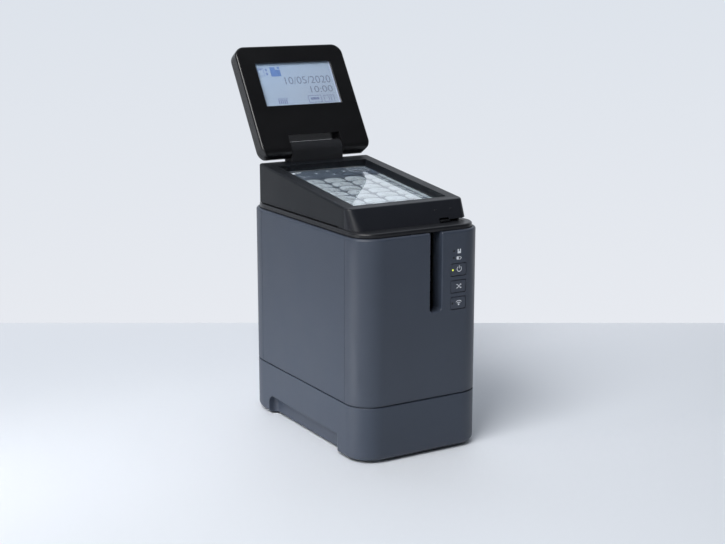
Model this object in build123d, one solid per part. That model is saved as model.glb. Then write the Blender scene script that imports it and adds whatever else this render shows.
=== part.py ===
from build123d import *
import os
from math import acos, atan, atan2, cos, degrees, pi, radians, sin, tan

# Driving dimensions, in millimetres. X runs across the machine, Y from front to rear, Z up from the table.
# Everything is drawn about the middle of the printer's footprint and moved at the end, so that the origin
# lies under the middle of the whole machine with its leaning display.
WIDTH = 113.0
DEPTH = 192.0
FRONT_RADIUS = 21.0
REAR_RADIUS = 33.0
WALL = 2.6
FRONT_Y = -DEPTH / 2
REAR_Y = DEPTH / 2
TABLE_GAP = 2.0
BASE_SEAM_Z = 45.5
BODY_TOP_Z = 173.5
COVER_TOP_Z = 177.2
FAR = 400.0


def outline(inset=0.0):
    """Plan of the machine: tight radii at the front corners, generous ones at the rear."""
    plan = Rectangle(WIDTH - 2 * inset, DEPTH - 2 * inset)
    plan = fillet(plan.vertices().group_by(Axis.Y)[0], FRONT_RADIUS - inset)
    return fillet(plan.vertices().group_by(Axis.Y)[-1], REAR_RADIUS - inset)


def slab(plan, z0, z1):
    """A plan raised from one height to another."""
    return Pos(0, 0, z0) * extrude(plan, z1 - z0)


def block(xs, ys, zs):
    """Box between two stations on each axis."""
    spans = [(min(pair), max(pair)) for pair in (xs, ys, zs)]
    centre = [(low + high) / 2 for low, high in spans]
    return Pos(*centre) * Box(*[high - low for low, high in spans])


def side_prism(profile, x0, x1):
    """A profile drawn in Y and Z, carried across the machine."""
    return Pos(x0, 0, 0) * extrude(Plane.YZ * profile, x1 - x0)


def front_prism(profile, y0, y1):
    """A profile drawn in X and Z, carried from front to rear."""
    return Pos(0, y0, 0) * extrude(Plane.XZ * profile, y0 - y1)


def upright(x, y, radius, z0, z1):
    """Vertical round bar."""
    return Pos(x, y, z0) * extrude(Circle(radius), z1 - z0)


def crossbar(y, z, radius, x0, x1):
    """Round bar lying across the machine."""
    return side_prism(Pos(y, z) * Circle(radius), x0, x1)


def plunge(x, z, radius, y0, y1):
    """Round bar lying from front to rear."""
    return front_prism(Pos(x, z) * Circle(radius), y0, y1)


def polygon(points):
    """Closed straight-sided face."""
    return make_face(Polyline(*points, close=True))


# Battery base: a moulded skirt with a top deck, closed below by a plate that holds the battery bay.
BASE_TOP_Z = 44.3
BASE_BOTTOM_EDGE = 4.0
BASE_LIP = 1.4
BASE_FLANGE = 6.0
BASE_FLANGE_TOP_Z = 5.2
GRIP_TOP_Z = 17.6
GRIP_DEPTH = 7.5
GRIP_FRONT_Y = -63.0
GRIP_RAMP = 14.0
GRIP_REAR_Y = 52.7
GRIP_CORNER = 7.0
GRIP_INNER_CORNER = 4.0
GRIP_LINING = 2.2
PLATE_Z = (2.4, 4.8)
BAY_X = 32.0
BAY_Y = (-58.0, 52.0)
BAY_TOP_Z = 34.0
BAY_WALL = 2.0
COIN_SCREW_YS = (-72.0, 66.0)
COIN_WELL_RADIUS = 8.0
DOCK_CENTRE = (34.0, 58.0)
DOCK_SIZE = (12.0, 22.0)
FOOT_RADIUS = 6.5
FOOT_SPOTS = [(-28.0, -76.0), (28.0, -76.0), (-40.0, 61.5), (40.0, 61.5)]
PLATE_SCREW_SPOTS = [(-38.5, -64.0), (38.5, -64.0), (-22.0, 82.0), (22.0, 82.0)]


def grip_hollow(grow=0.0):
    """Finger hollow in the left side of the skirt: a ramp in front, a round inner corner at the rear."""
    side = -WIDTH / 2
    depth = side + GRIP_DEPTH + grow
    plan = polygon([
        (side - 3, GRIP_FRONT_Y - grow),
        (side, GRIP_FRONT_Y - grow),
        (depth, GRIP_FRONT_Y + GRIP_RAMP - grow),
        (depth, GRIP_REAR_Y + grow),
        (side - 3, GRIP_REAR_Y + grow),
    ])
    plan = fillet(plan.vertices().sort_by(Axis.Y)[-2:].sort_by(Axis.X)[-1], GRIP_INNER_CORNER)
    hollow = slab(plan, 0, GRIP_TOP_Z + grow)
    rear_top = hollow.edges().filter_by(Axis.X).group_by(Axis.Z)[-1].sort_by(Axis.Y)[-1]
    return fillet(rear_top, GRIP_CORNER + grow)


def both_sides(shape):
    """The left-hand shape with its right-hand twin."""
    return shape + mirror(shape, about=Plane.YZ)


def base_shell():
    shell = slab(outline(), TABLE_GAP, BASE_TOP_Z)
    shell = fillet(shell.edges().group_by(Axis.Z)[0], BASE_BOTTOM_EDGE)
    shell = fillet(shell.edges().group_by(Axis.Z)[-1], 0.6)
    shell += slab(outline(BASE_LIP), BASE_TOP_Z - 1, BASE_SEAM_Z)
    room = slab(outline(WALL), BASE_FLANGE_TOP_Z, BASE_TOP_Z - WALL)
    room += slab(outline(BASE_FLANGE), 0, BASE_FLANGE_TOP_Z + 1)
    shell -= room - both_sides(grip_hollow(GRIP_LINING))
    shell -= both_sides(grip_hollow())
    shell -= Pos(*DOCK_CENTRE, BASE_TOP_Z) * Box(*DOCK_SIZE, 12)
    for y in COIN_SCREW_YS:
        shell -= upright(0, y, 3.4, 30, 50)
    return shell


def base_bottom_plate():
    plate = slab(outline(BASE_FLANGE + 0.2), *PLATE_Z)
    bay_outer = Rectangle(2 * (BAY_X + BAY_WALL), BAY_Y[1] - BAY_Y[0] + 2 * BAY_WALL)
    bay_inner = Rectangle(2 * BAY_X, BAY_Y[1] - BAY_Y[0])
    bay_centre = Pos(0, sum(BAY_Y) / 2)
    plate += slab(bay_centre * bay_outer, PLATE_Z[0], BAY_TOP_Z)
    for y in COIN_SCREW_YS:
        plate += upright(0, y, COIN_WELL_RADIUS + 1.8, PLATE_Z[0], 12)
        plate -= upright(0, y, COIN_WELL_RADIUS, 0, 10)
        plate -= upright(0, y, 3.4, 0, 20)
    plate -= slab(bay_centre * bay_inner, 0, BAY_TOP_Z - BAY_WALL)
    for x, y in FOOT_SPOTS:
        plate += upright(x, y, FOOT_RADIUS + 1.6, PLATE_Z[0], PLATE_Z[1] + 1.4)
        plate -= upright(x, y, FOOT_RADIUS + 0.1, 0, PLATE_Z[1])
    for x, y in PLATE_SCREW_SPOTS:
        plate -= upright(x, y, 1.8, 0, 20)
        plate -= upright(x, y, 3.4, 0, PLATE_Z[0] + 1.0)
    return plate - both_sides(grip_hollow(GRIP_LINING + 0.2))


def battery_pack():
    """Two rows of round cells in a moulded case, with a contact end and a finger groove."""
    cell_row = 2 * (BAY_X - 1) / 3
    case = Pos(0, sum(BAY_Y) / 2) * RectangleRounded(2 * (BAY_X - 1), BAY_Y[1] - BAY_Y[0] - 4, 4)
    pack = slab(case, 6.2, 28.0)
    for column in (-0.5, 0.5):
        groove = Pos(column * cell_row, 28.6) * Circle(1.6)
        pack -= front_prism(groove, BAY_Y[0], BAY_Y[1])
    pack -= block((-14, 14), (BAY_Y[1] - 7, BAY_Y[1]), (0, 9))
    return pack


def battery_cover():
    """Flush cover over the battery bay, with grip ribs and a latch tab at its rear edge."""
    length = BAY_Y[1] - BAY_Y[0] - 0.6
    cover = slab(Pos(0, sum(BAY_Y) / 2) * RectangleRounded(2 * BAY_X - 0.6, length, 2), PLATE_Z[0], 4.4)
    for step in range(5):
        y = BAY_Y[1] - 12 - 3 * step
        cover -= crossbar(y, PLATE_Z[0] - 0.4, 0.9, -12, 12)
    cover += block((-9, 9), (BAY_Y[1] - 2.6, BAY_Y[1] - 0.6), (4.4, 9))
    return cover


def rubber_feet():
    pad = extrude(Circle(FOOT_RADIUS), PLATE_Z[1])
    pad = chamfer(pad.edges().group_by(Axis.Z)[0], 0.7)
    return [Pos(x, y, 0) * pad for x, y in FOOT_SPOTS]


def cross_head_screw(head_radius, head_height, shank_radius, length):
    """Pan-head screw standing on its head, cross recess downwards."""
    screw = extrude(Circle(head_radius), head_height)
    screw = chamfer(screw.edges().group_by(Axis.Z)[0], head_height * 0.45)
    screw += extrude(Circle(shank_radius), length)
    for turn in (0, 90):
        screw -= Rot(0, 0, turn) * Box(head_radius * 1.1, 0.7, head_height * 0.9)
    return screw


def coin_screws():
    """Captive screws that hold the base to the printer, slotted for a coin."""
    screws = []
    for y in COIN_SCREW_YS:
        screw = upright(0, y, 6.8, 6.6, 10.0) + upright(0, y, 3.0, 9.0, 54.0)
        screw -= block((-8, 8), (y - 0.8, y + 0.8), (0, 8.2))
        screws.append(screw)
    return screws


def base_board():
    """Circuit board that hangs under the base's deck and carries the dock connector."""
    board = block((20, 46), (30, 74), (38.4, 40.0))
    return board + block((22, 30), (34, 44), (36.6, 38.4)) + block((34, 42), (33, 41), (36.0, 38.4))


def dock_connector():
    """Upright plug that takes the battery's power and signals up into the printer."""
    x, y = DOCK_CENTRE
    width, length = DOCK_SIZE
    body = Pos(x, y, 46.0) * Box(width - 1, length - 1, 12.0)
    for row in (-2.4, 2.4):
        body += Pos(x + row, y, 53.4) * Box(2.2, length - 4, 3.0)
    return body


# Printer body: four moulded wall panels on a flat chassis, all cut from one ring.
PANEL_FRONT_Y = -74.0
PANEL_REAR_Y = 62.0
PANEL_GAP = 0.4
TOP_EDGE_RADIUS = 1.8
LEDGE_WIDTH = 3.0
DECK_Z = (168.5, 171.0)
CHASSIS_Z = (45.5, 48.5)
LEDGES = [(DECK_Z[0] - 3.0, DECK_Z[0]), (CHASSIS_Z[1], CHASSIS_Z[1] + 2.0)]


def body_ring():
    outer = slab(outline(), BASE_SEAM_Z, BODY_TOP_Z)
    outer = fillet(outer.edges().group_by(Axis.Z)[-1], TOP_EDGE_RADIUS)
    ring = outer - slab(outline(WALL), BASE_SEAM_Z - 1, BODY_TOP_Z + 1)
    for z0, z1 in LEDGES:
        ring += slab(outline(WALL - 0.2) - outline(WALL + LEDGE_WIDTH), z0, z1)
    return ring


BODY_RING = body_ring()

# Front panel: the tape slot, three rocking buttons and four lamps.
SLOT_X = (5.5, 16.0)
SLOT_BOTTOM_Z = 112.8
SLOT_CORNER = 2.4
SLOT_EDGE_RADIUS = 0.8
SLOT_LINING = 2.0
SLOT_INNER_Y = -84.2
BUTTON_X = (24.2, 38.0)
BUTTON_HEIGHT = 9.2
BUTTON_GAP = 0.5
BUTTON_HINGE_GAP = 0.3
BUTTON_CORNER = 1.2
BUTTON_PITCH = 13.05
BUTTON_TOP_Z = 143.2
BUTTON_ZS = {
    "power": BUTTON_TOP_Z,
    "feed_cut": BUTTON_TOP_Z - BUTTON_PITCH,
    "wireless": BUTTON_TOP_Z - 2 * BUTTON_PITCH,
}
BUTTON_LAMP_X = 25.9
PANEL_LAMP_X = 26.7
PANEL_LAMP_ZS = (157.8, 152.6)
LAMP_RADIUS = 0.8
SWITCH_X = 33.0
BUTTON_BOARD_X = (20.0, 43.0)
BUTTON_BOARD_Y = (-86.0, -84.4)
BUTTON_BOARD_Z = (106.0, 164.0)


def slot_profile(grow=0.0):
    """Tape slot seen from the front; it runs out through the top edge."""
    top = BODY_TOP_Z + 20
    width = SLOT_X[1] - SLOT_X[0] + 2 * grow
    height = top - SLOT_BOTTOM_Z + 2 * grow
    centre = Pos(sum(SLOT_X) / 2, (top + SLOT_BOTTOM_Z) / 2)
    return centre * RectangleRounded(width, height, SLOT_CORNER + grow)


def button_profile(centre_z, gap=0.0, hinge_gap=0.0):
    """Button face seen from the front."""
    x0 = BUTTON_X[0] - hinge_gap
    x1 = BUTTON_X[1] + gap
    face = RectangleRounded(x1 - x0, BUTTON_HEIGHT + 2 * gap, BUTTON_CORNER + gap / 2)
    return Pos((x0 + x1) / 2, centre_z) * face


def front_cover():
    cover = BODY_RING & block((-WIDTH, WIDTH), (FRONT_Y - 1, PANEL_FRONT_Y - PANEL_GAP / 2), (0, FAR))
    below_top = block((-WIDTH, WIDTH), (FRONT_Y, 0), (0, BODY_TOP_Z))
    cover += front_prism(slot_profile(SLOT_LINING), FRONT_Y + 1, SLOT_INNER_Y) & below_top
    cover -= front_prism(slot_profile(), FRONT_Y - 1, SLOT_INNER_Y + 1)
    mouth = cover.edges().filter_by_position(Axis.Y, FRONT_Y - 0.1, FRONT_Y + 0.1)
    mouth = mouth.filter_by(lambda e: SLOT_X[0] - 1 < e.center().X < SLOT_X[1] + 1)
    mouth = mouth.filter_by(lambda e: e.center().Z < BODY_TOP_Z - 5)
    cover = fillet(mouth, SLOT_EDGE_RADIUS)
    for centre_z in BUTTON_ZS.values():
        window = button_profile(centre_z, BUTTON_GAP, BUTTON_HINGE_GAP)
        cover -= front_prism(window, FRONT_Y - 1, FRONT_Y + WALL + 2)
    for z in PANEL_LAMP_ZS:
        cover -= plunge(PANEL_LAMP_X, z, LAMP_RADIUS, FRONT_Y - 1, FRONT_Y + WALL + 1)
    for z in (BUTTON_BOARD_Z[0] + 3, BUTTON_BOARD_Z[1] - 3):
        cover += plunge(BUTTON_BOARD_X[1] - 3, z, 2.2, FRONT_Y + WALL - 0.5, BUTTON_BOARD_Y[0])
        cover += plunge(BUTTON_BOARD_X[0] + 2.4, z, 2.0, FRONT_Y + WALL - 0.5, BUTTON_BOARD_Y[0])
    return cover


def front_button(name, lamp):
    """Rocking key: its left edge is the hinge, its right end pushes a switch."""
    centre_z = BUTTON_ZS[name]
    key = front_prism(button_profile(centre_z), FRONT_Y, FRONT_Y + WALL)
    rim = key.edges().filter_by_position(Axis.Y, FRONT_Y - 0.1, FRONT_Y + 0.1)
    key = fillet(rim, 0.35)
    plunger_ys = (FRONT_Y + WALL - 0.1, FRONT_Y + 5.8)
    key += block((SWITCH_X - 2, SWITCH_X + 2), plunger_ys, (centre_z - 2, centre_z + 2))
    if lamp:
        key -= plunge(BUTTON_LAMP_X, centre_z, LAMP_RADIUS, FRONT_Y - 1, FRONT_Y + WALL + 1)
    return key


def lamp_lens(x, z):
    """Short light pipe that ends flush with the front."""
    return plunge(x, z, LAMP_RADIUS - 0.03, FRONT_Y + 0.05, FRONT_Y + WALL + 0.8)


def panel_lamps():
    return [lamp_lens(PANEL_LAMP_X, z) for z in PANEL_LAMP_ZS]


def button_board():
    """Board behind the buttons, with one switch for each and a plug header."""
    face_y, back_y = BUTTON_BOARD_Y
    board = block(BUTTON_BOARD_X, BUTTON_BOARD_Y, BUTTON_BOARD_Z)
    board += block((35, 42), (back_y - 0.2, back_y + 2.5), (108, 118))
    for z in BUTTON_ZS.values():
        board += block((SWITCH_X - 3, SWITCH_X + 3), (face_y - 2.4, face_y + 0.2), (z - 3, z + 3))
        board += plunge(SWITCH_X, z, 1.7, face_y - 3.4, face_y)
    return board


def side_panel(side):
    """Flat wall between the front cover and the rear cover, with stiffening ribs inside."""
    xs = (0, side * WIDTH)
    panel_ys = (PANEL_FRONT_Y + PANEL_GAP / 2, PANEL_REAR_Y - PANEL_GAP / 2)
    panel = BODY_RING & block(xs, panel_ys, (0, FAR))
    inner = side * (WIDTH / 2 - WALL)
    for y in (-58, -30, -2, 26, 50):
        rib_xs = (inner + side * 0.2, inner - side * 2.4)
        panel += block(rib_xs, (y - 0.8, y + 0.8), (LEDGES[1][1], LEDGES[0][0]))
    return panel


# Rear: sockets on an upright port board, each showing through its own window in the rear cover.
PORT_BOARD_Y = (79.0, 80.6)
SOCKET_FACE_Y = REAR_Y - 0.9
SOCKETS = {
    "dc_jack": (-16.2, 66.0, 9.2, 11.0),
    "usb_port": (-1.8, 66.0, 12.0, 11.0),
    "lan_port": (14.6, 67.2, 16.0, 13.4),
    "serial_port": (-12.6, 88.0, 13.2, 12.6),
    "usb_host_port": (8.4, 86.0, 14.4, 7.2),
}


def socket_profile(name, grow=0.0):
    x, z, width, height = SOCKETS[name]
    return Pos(x, z) * Rectangle(width + 2 * grow, height + 2 * grow)


def rear_cover():
    cover = BODY_RING & block((-WIDTH, WIDTH), (PANEL_REAR_Y + PANEL_GAP / 2, REAR_Y + 1), (0, FAR))
    for name in SOCKETS:
        cover -= front_prism(socket_profile(name, 0.4), REAR_Y - WALL - 2, REAR_Y + 1)
    for step in range(6):
        slot = Pos(-20 + 8 * step, 126) * SlotOverall(22, 2.4, rotation=90)
        cover -= front_prism(slot, REAR_Y - WALL - 1, REAR_Y + 1)
    return cover


def socket_shell(name):
    return front_prism(socket_profile(name), PORT_BOARD_Y[1], SOCKET_FACE_Y)


def dc_jack():
    x, z = SOCKETS["dc_jack"][:2]
    jack = socket_shell("dc_jack")
    jack -= plunge(x, z, 3.2, SOCKET_FACE_Y - 9.5, SOCKET_FACE_Y + 1)
    return jack + plunge(x, z, 1.0, SOCKET_FACE_Y - 10, SOCKET_FACE_Y - 0.8)


def usb_device_socket():
    x, z = SOCKETS["usb_port"][:2]
    port = socket_shell("usb_port")
    right_half = [(x + 4.2, z - 4), (x + 4.2, z + 2.2), (x + 2.6, z + 4)]
    left_half = [(2 * x - px, pz) for px, pz in reversed(right_half)]
    mouth = polygon(right_half + left_half)
    port -= front_prism(mouth, SOCKET_FACE_Y - 9, SOCKET_FACE_Y + 1)
    return port + block((x - 2.7, x + 2.7), (SOCKET_FACE_Y - 9.5, SOCKET_FACE_Y - 1), (z - 1.5, z + 1.5))


def modular_port(name, mouth_width, mouth_height):
    """Modular jack: a stepped mouth with the catch groove below."""
    x, z = SOCKETS[name][:2]
    port = socket_shell(name)
    mouth_ys = (SOCKET_FACE_Y - 11, SOCKET_FACE_Y + 1)
    port -= front_prism(Pos(x, z + 1) * Rectangle(mouth_width, mouth_height), *mouth_ys)
    low = z + 1 - mouth_height / 2
    return port - block((x - 3, x + 3), mouth_ys, (low - 1.8, low + 1))


def usb_host_socket():
    x, z = SOCKETS["usb_host_port"][:2]
    port = socket_shell("usb_host_port")
    port -= front_prism(Pos(x, z) * Rectangle(12.5, 5.1), SOCKET_FACE_Y - 10, SOCKET_FACE_Y + 1)
    return port + block((x - 5.8, x + 5.8), (SOCKET_FACE_Y - 10.5, SOCKET_FACE_Y - 1.2), (z + 0.2, z + 2.0))


def port_board():
    return block((-23, 25), PORT_BOARD_Y, (56, 100)) + block((-20, 22), (69, 79), (56.2, 57.8))


# Chassis and main board under the cassette tub.
BOARD_Z = (54.6, 56.2)
BOARD_X = (-44.0, 26.0)
BOARD_Y = (-62.0, 68.6)
STANDOFFS = [(-40, -58), (22, -58), (-40, 60), (22, 60)]
BOARD_CHIPS = [
    ((-20, -4), (-20, -4), 1.6),
    ((2, 14), (-26, -10), 1.4),
    ((-30, -20), (20, 32), 7.0),
    ((10, 22), (36, 42), 6.0),
    ((-36, -30), (-44, -24), 6.0),
]
BOARD_CANS = [(-6, 24), (6, 24), (-6, 38)]


def bottom_chassis():
    chassis = slab(outline(WALL + 0.15), *CHASSIS_Z)
    for y in COIN_SCREW_YS:
        chassis += upright(0, y, 6.0, CHASSIS_Z[0], 55.0) - upright(0, y, 3.05, 0, 54.5)
        chassis -= upright(0, y, 3.05, 0, 54.5)
    for x, y in STANDOFFS:
        chassis += upright(x, y, 3.5, CHASSIS_Z[0], BOARD_Z[0])
        chassis -= upright(x, y, 1.2, 50, BOARD_Z[0] + 1)
    for y in (-40, 0, 40):
        chassis += block((-50, 50), (y - 0.9, y + 0.9), (CHASSIS_Z[1] - 0.1, CHASSIS_Z[1] + 2.5))
    return chassis - Pos(*DOCK_CENTRE, 47) * Box(*DOCK_SIZE, 14)


def main_board():
    """Main board with its chips, plug headers and capacitors."""
    board = block(BOARD_X, BOARD_Y, BOARD_Z)
    for y in COIN_SCREW_YS:
        board -= upright(0, y, 7.5, 50, 60)
    for x, y in STANDOFFS:
        board -= upright(x, y, 1.7, 50, 60)
    for xs, ys, height in BOARD_CHIPS:
        board += block(xs, ys, (BOARD_Z[1] - 0.2, BOARD_Z[1] + height))
    for x, y in BOARD_CANS:
        board += upright(x, y, 5.0, BOARD_Z[1] - 0.2, BOARD_Z[1] + 14)
    return board


# Cassette tub: the deck under the cover, the well that a tape cassette drops into, and the bay in front of
# it where the tape is printed, cut and sent out through the slot.
WELL_X = (-47.0, 33.0)
WELL_Y = (-40.0, 58.0)
BAY_MECH_X = (-9.0, 30.0)
BAY_MECH_Y = (-82.0, -30.0)
WELL_FLOOR_Z = (110.0, 112.0)
WELL_WALL = 2.0
WELL_CORNER = 3.0

# Gear train: one motor turns an idler, which turns both the feed shaft and the ribbon spindle.
MODULE = 1.0
FINE_MODULE = 0.6
PRESSURE_ANGLE = radians(20)
ADDENDUM = 0.85
DEDENDUM = 1.15
BACKLASH = 0.14
PINION_TEETH = 12
IDLER_TEETH = 32
FEED_TEETH = 16
SPINDLE_TEETH = 20
FEED_TOP_TEETH = 20
PLATEN_TEETH = 16
GEAR_Z = (102.0, 106.0)
TOP_GEAR_Z = (114.9, 117.9)
GEAR_PLATE_Z = (98.0, 99.6)

PLATEN = (15.4, -54.0)
PLATEN_RADIUS = 5.0
HOLDER_PIVOT = (24.5, -45.0)


def polar(centre, distance, angle):
    """Point at a distance and an angle in degrees from another."""
    return (centre[0] + distance * cos(radians(angle)), centre[1] + distance * sin(radians(angle)))


def bearing(start, end):
    """Angle in degrees of the line from one point to another."""
    return degrees(atan2(end[1] - start[1], end[0] - start[0]))


FEED_FROM_PLATEN = bearing(HOLDER_PIVOT, PLATEN) - 90
FEED = polar(PLATEN, FINE_MODULE * (PLATEN_TEETH + FEED_TOP_TEETH) / 2, FEED_FROM_PLATEN)
IDLER_FROM_FEED = 130.0
IDLER = polar(FEED, MODULE * (FEED_TEETH + IDLER_TEETH) / 2, IDLER_FROM_FEED)
PINION_FROM_IDLER = 215.0
MOTOR = polar(IDLER, MODULE * (IDLER_TEETH + PINION_TEETH) / 2, PINION_FROM_IDLER)
SPINDLE_FROM_IDLER = 95.0
SPINDLE = polar(IDLER, MODULE * (IDLER_TEETH + SPINDLE_TEETH) / 2, SPINDLE_FROM_IDLER)


def flank_angle(radius, teeth, module):
    """Half the angle that a tooth spans at a radius, on an involute flank."""
    pitch_radius = module * teeth / 2
    half_tooth = pi / (2 * teeth) - BACKLASH / (2 * pitch_radius)
    base_radius = pitch_radius * cos(PRESSURE_ANGLE)
    pressure = acos(min(1.0, base_radius / radius))
    return half_tooth + (tan(PRESSURE_ANGLE) - PRESSURE_ANGLE) - (tan(pressure) - pressure)


def gear_blank(teeth, module, phase):
    """Outline of a spur gear, one tooth centred on the phase angle in degrees."""
    pitch_radius = module * teeth / 2
    radii = [pitch_radius - DEDENDUM * module, pitch_radius, pitch_radius + ADDENDUM * module]
    points = []
    for tooth in range(teeth):
        middle = radians(phase) + 2 * pi * tooth / teeth
        right = [(r, middle - flank_angle(r, teeth, module)) for r in radii]
        left = [(r, middle + flank_angle(r, teeth, module)) for r in reversed(radii)]
        points += [(r * cos(a), r * sin(a)) for r, a in right + left]
    return polygon(points)


def mesh_phase(direction, teeth, phase, mate_teeth):
    """Phase that puts a mate's gap where this gear, seen along a direction, has its tooth."""
    offset = ((direction - phase) / (360 / teeth)) % 1
    return direction + 180 - (0.5 - offset) * 360 / mate_teeth


def spur_gear(centre, teeth, module, phase, zs, hub_radius, bore=0.0):
    """Moulded gear with a thin web, a full rim and a hub."""
    root_radius = module * teeth / 2 - DEDENDUM * module
    gear = slab(gear_blank(teeth, module, phase), *zs)
    rim_inside = root_radius - 1.6
    if rim_inside > hub_radius + 2:
        recess = Circle(rim_inside) - Circle(hub_radius)
        gear -= slab(recess, zs[0] - 1, zs[0] + 1.2)
        gear -= slab(recess, zs[1] - 1.2, zs[1] + 1)
        for hole in range(4):
            middle = (rim_inside + hub_radius) / 2
            gear -= upright(*polar((0, 0), middle, 45 + 90 * hole), (rim_inside - hub_radius) * 0.3, 0, FAR)
    if bore:
        gear -= upright(0, 0, bore, 0, FAR)
    return Pos(*centre, 0) * gear


IDLER_PHASE = 0.0
TOP_GEAR_PHASE = 0.0
SHAFT_RADIUS = 1.5
RUNNING_FIT = 0.06
SPINDLE_SHAFT_RADIUS = 2.0
SPINDLE_HUB_RADIUS = 4.6
HOLDER_Z = ((112.5, 114.4), (158.6, 160.6))
HOLDER_EAR_RADIUS = 3.4
HOLDER_POST_RADIUS = 3.8
PIVOT_PIN_RADIUS = 2.0
PLATEN_Z = (118.8, 157.8)
PLATE_POSTS = [(-46, -20), (-10, -56), (20, -30), (-44, 9), (19, 9)]
MOTOR_RADIUS = 17.5
MOTOR_Z = (78.0, 98.0)


def idler_gear():
    gear = spur_gear(IDLER, IDLER_TEETH, MODULE, IDLER_PHASE, GEAR_Z, 4.0)
    return gear - upright(*IDLER, SHAFT_RADIUS + RUNNING_FIT, 0, FAR)


def motor_pinion():
    phase = mesh_phase(PINION_FROM_IDLER, IDLER_TEETH, IDLER_PHASE, PINION_TEETH)
    pinion = spur_gear(MOTOR, PINION_TEETH, MODULE, phase, GEAR_Z, 3.0)
    return pinion + upright(*MOTOR, SHAFT_RADIUS, GEAR_PLATE_Z[0] - 12, GEAR_Z[1] + 1)


def feed_shaft():
    """Shaft with the large lower gear of the train and the fine gear that drives the roller."""
    phase = mesh_phase(IDLER_FROM_FEED + 180, IDLER_TEETH, IDLER_PHASE, FEED_TEETH)
    shaft = spur_gear(FEED, FEED_TEETH, MODULE, phase, GEAR_Z, 3.0)
    shaft += spur_gear(FEED, FEED_TOP_TEETH, FINE_MODULE, TOP_GEAR_PHASE, TOP_GEAR_Z, 3.0)
    return shaft + upright(*FEED, SHAFT_RADIUS, GEAR_PLATE_Z[0], TOP_GEAR_Z[1])


def ribbon_spindle():
    """Spindle with a splined hub that turns the cassette's take-up reel."""
    phase = mesh_phase(SPINDLE_FROM_IDLER, IDLER_TEETH, IDLER_PHASE, SPINDLE_TEETH)
    spindle = spur_gear(SPINDLE, SPINDLE_TEETH, MODULE, phase, GEAR_Z, 4.0)
    spindle += upright(*SPINDLE, SPINDLE_SHAFT_RADIUS, GEAR_PLATE_Z[0], 116)
    hub = slab(Circle(SPINDLE_HUB_RADIUS), 112.5, 148)
    hub = chamfer(hub.edges().group_by(Axis.Z)[-1], 1.6)
    for spline in range(6):
        fin = Pos(SPINDLE_HUB_RADIUS, 0, 130) * Box(2.0, 1.2, 30)
        hub += Rot(0, 0, 60 * spline) * fin
    return spindle + Pos(*SPINDLE, 0) * hub


def platen_roller():
    """Steel shaft of the roller with the gear that the feed shaft drives."""
    phase = mesh_phase(FEED_FROM_PLATEN + 180, FEED_TOP_TEETH, TOP_GEAR_PHASE, PLATEN_TEETH)
    roller = spur_gear(PLATEN, PLATEN_TEETH, FINE_MODULE, phase, TOP_GEAR_Z, 3.0)
    return roller + upright(*PLATEN, SHAFT_RADIUS, HOLDER_Z[0][0] + 0.4, HOLDER_Z[1][1] + 0.8)


def platen_rubber():
    """Rubber sleeve that presses the tape against the print head."""
    rubber = slab(Circle(PLATEN_RADIUS) - Circle(SHAFT_RADIUS), *PLATEN_Z)
    return Pos(*PLATEN, 0) * rubber


def roller_holder():
    """Swinging holder that lets the roller move off the print head when the cover is up."""
    line = bearing(HOLDER_PIVOT, PLATEN)
    reach = Vector(PLATEN[0] - HOLDER_PIVOT[0], PLATEN[1] - HOLDER_PIVOT[1]).length
    ear = Circle(HOLDER_POST_RADIUS) + Pos(reach, 0) * Circle(HOLDER_EAR_RADIUS)
    ear += Pos(reach / 2, 0) * Rectangle(reach, 2 * HOLDER_EAR_RADIUS)
    holder = slab(Circle(HOLDER_POST_RADIUS), HOLDER_Z[0][0], HOLDER_Z[1][1])
    for zs in HOLDER_Z:
        holder += slab(ear, *zs)
    holder += block((2.6, 6.2), (-1.0, 1.0), (HOLDER_Z[1][0] - 14, HOLDER_Z[1][0] + 0.5))
    holder -= upright(reach, 0, SHAFT_RADIUS + RUNNING_FIT, 0, FAR)
    holder -= upright(0, 0, PIVOT_PIN_RADIUS + RUNNING_FIT, 0, FAR)
    return Pos(*HOLDER_PIVOT, 0) * Rot(0, 0, line) * holder


def holder_pivot_pin():
    pin = upright(*HOLDER_PIVOT, PIVOT_PIN_RADIUS, WELL_FLOOR_Z[0] + 0.4, HOLDER_Z[1][1] + 1.2)
    return pin + upright(*HOLDER_PIVOT, 3.0, HOLDER_Z[1][1] + 0.4, HOLDER_Z[1][1] + 1.4)


def gear_plate():
    """Pressed steel plate under the tub, with the axle of the idler."""
    plate = block((-50, 24), (-60, 14), GEAR_PLATE_Z)
    plate = fillet(plate.edges().filter_by(Axis.Z), 4.0)
    for centre, radius in ((FEED, SHAFT_RADIUS), (SPINDLE, SPINDLE_SHAFT_RADIUS)):
        plate -= upright(*centre, radius + RUNNING_FIT, 90, FAR)
    plate -= upright(*MOTOR, 5.6, 90, FAR)
    for x, y in PLATE_POSTS:
        plate -= upright(x, y, 1.7, 90, FAR)
    return plate + upright(*IDLER, SHAFT_RADIUS, GEAR_PLATE_Z[0], GEAR_Z[1] + 1.5)


def drive_motor():
    """Stepping motor with its mounting flange."""
    can = upright(*MOTOR, MOTOR_RADIUS, *MOTOR_Z)
    can = chamfer(can.edges().group_by(Axis.Z)[0], 1.5)
    can += upright(*MOTOR, 5.4, MOTOR_Z[1], MOTOR_Z[1] + 1.4)
    ears = SlotOverall(50, 9, rotation=20)
    can += Pos(*MOTOR, 0) * slab(ears, MOTOR_Z[1] - 1.2, MOTOR_Z[1])
    return can - upright(*MOTOR, SHAFT_RADIUS + RUNNING_FIT, MOTOR_Z[1] - 13, FAR)


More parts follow.
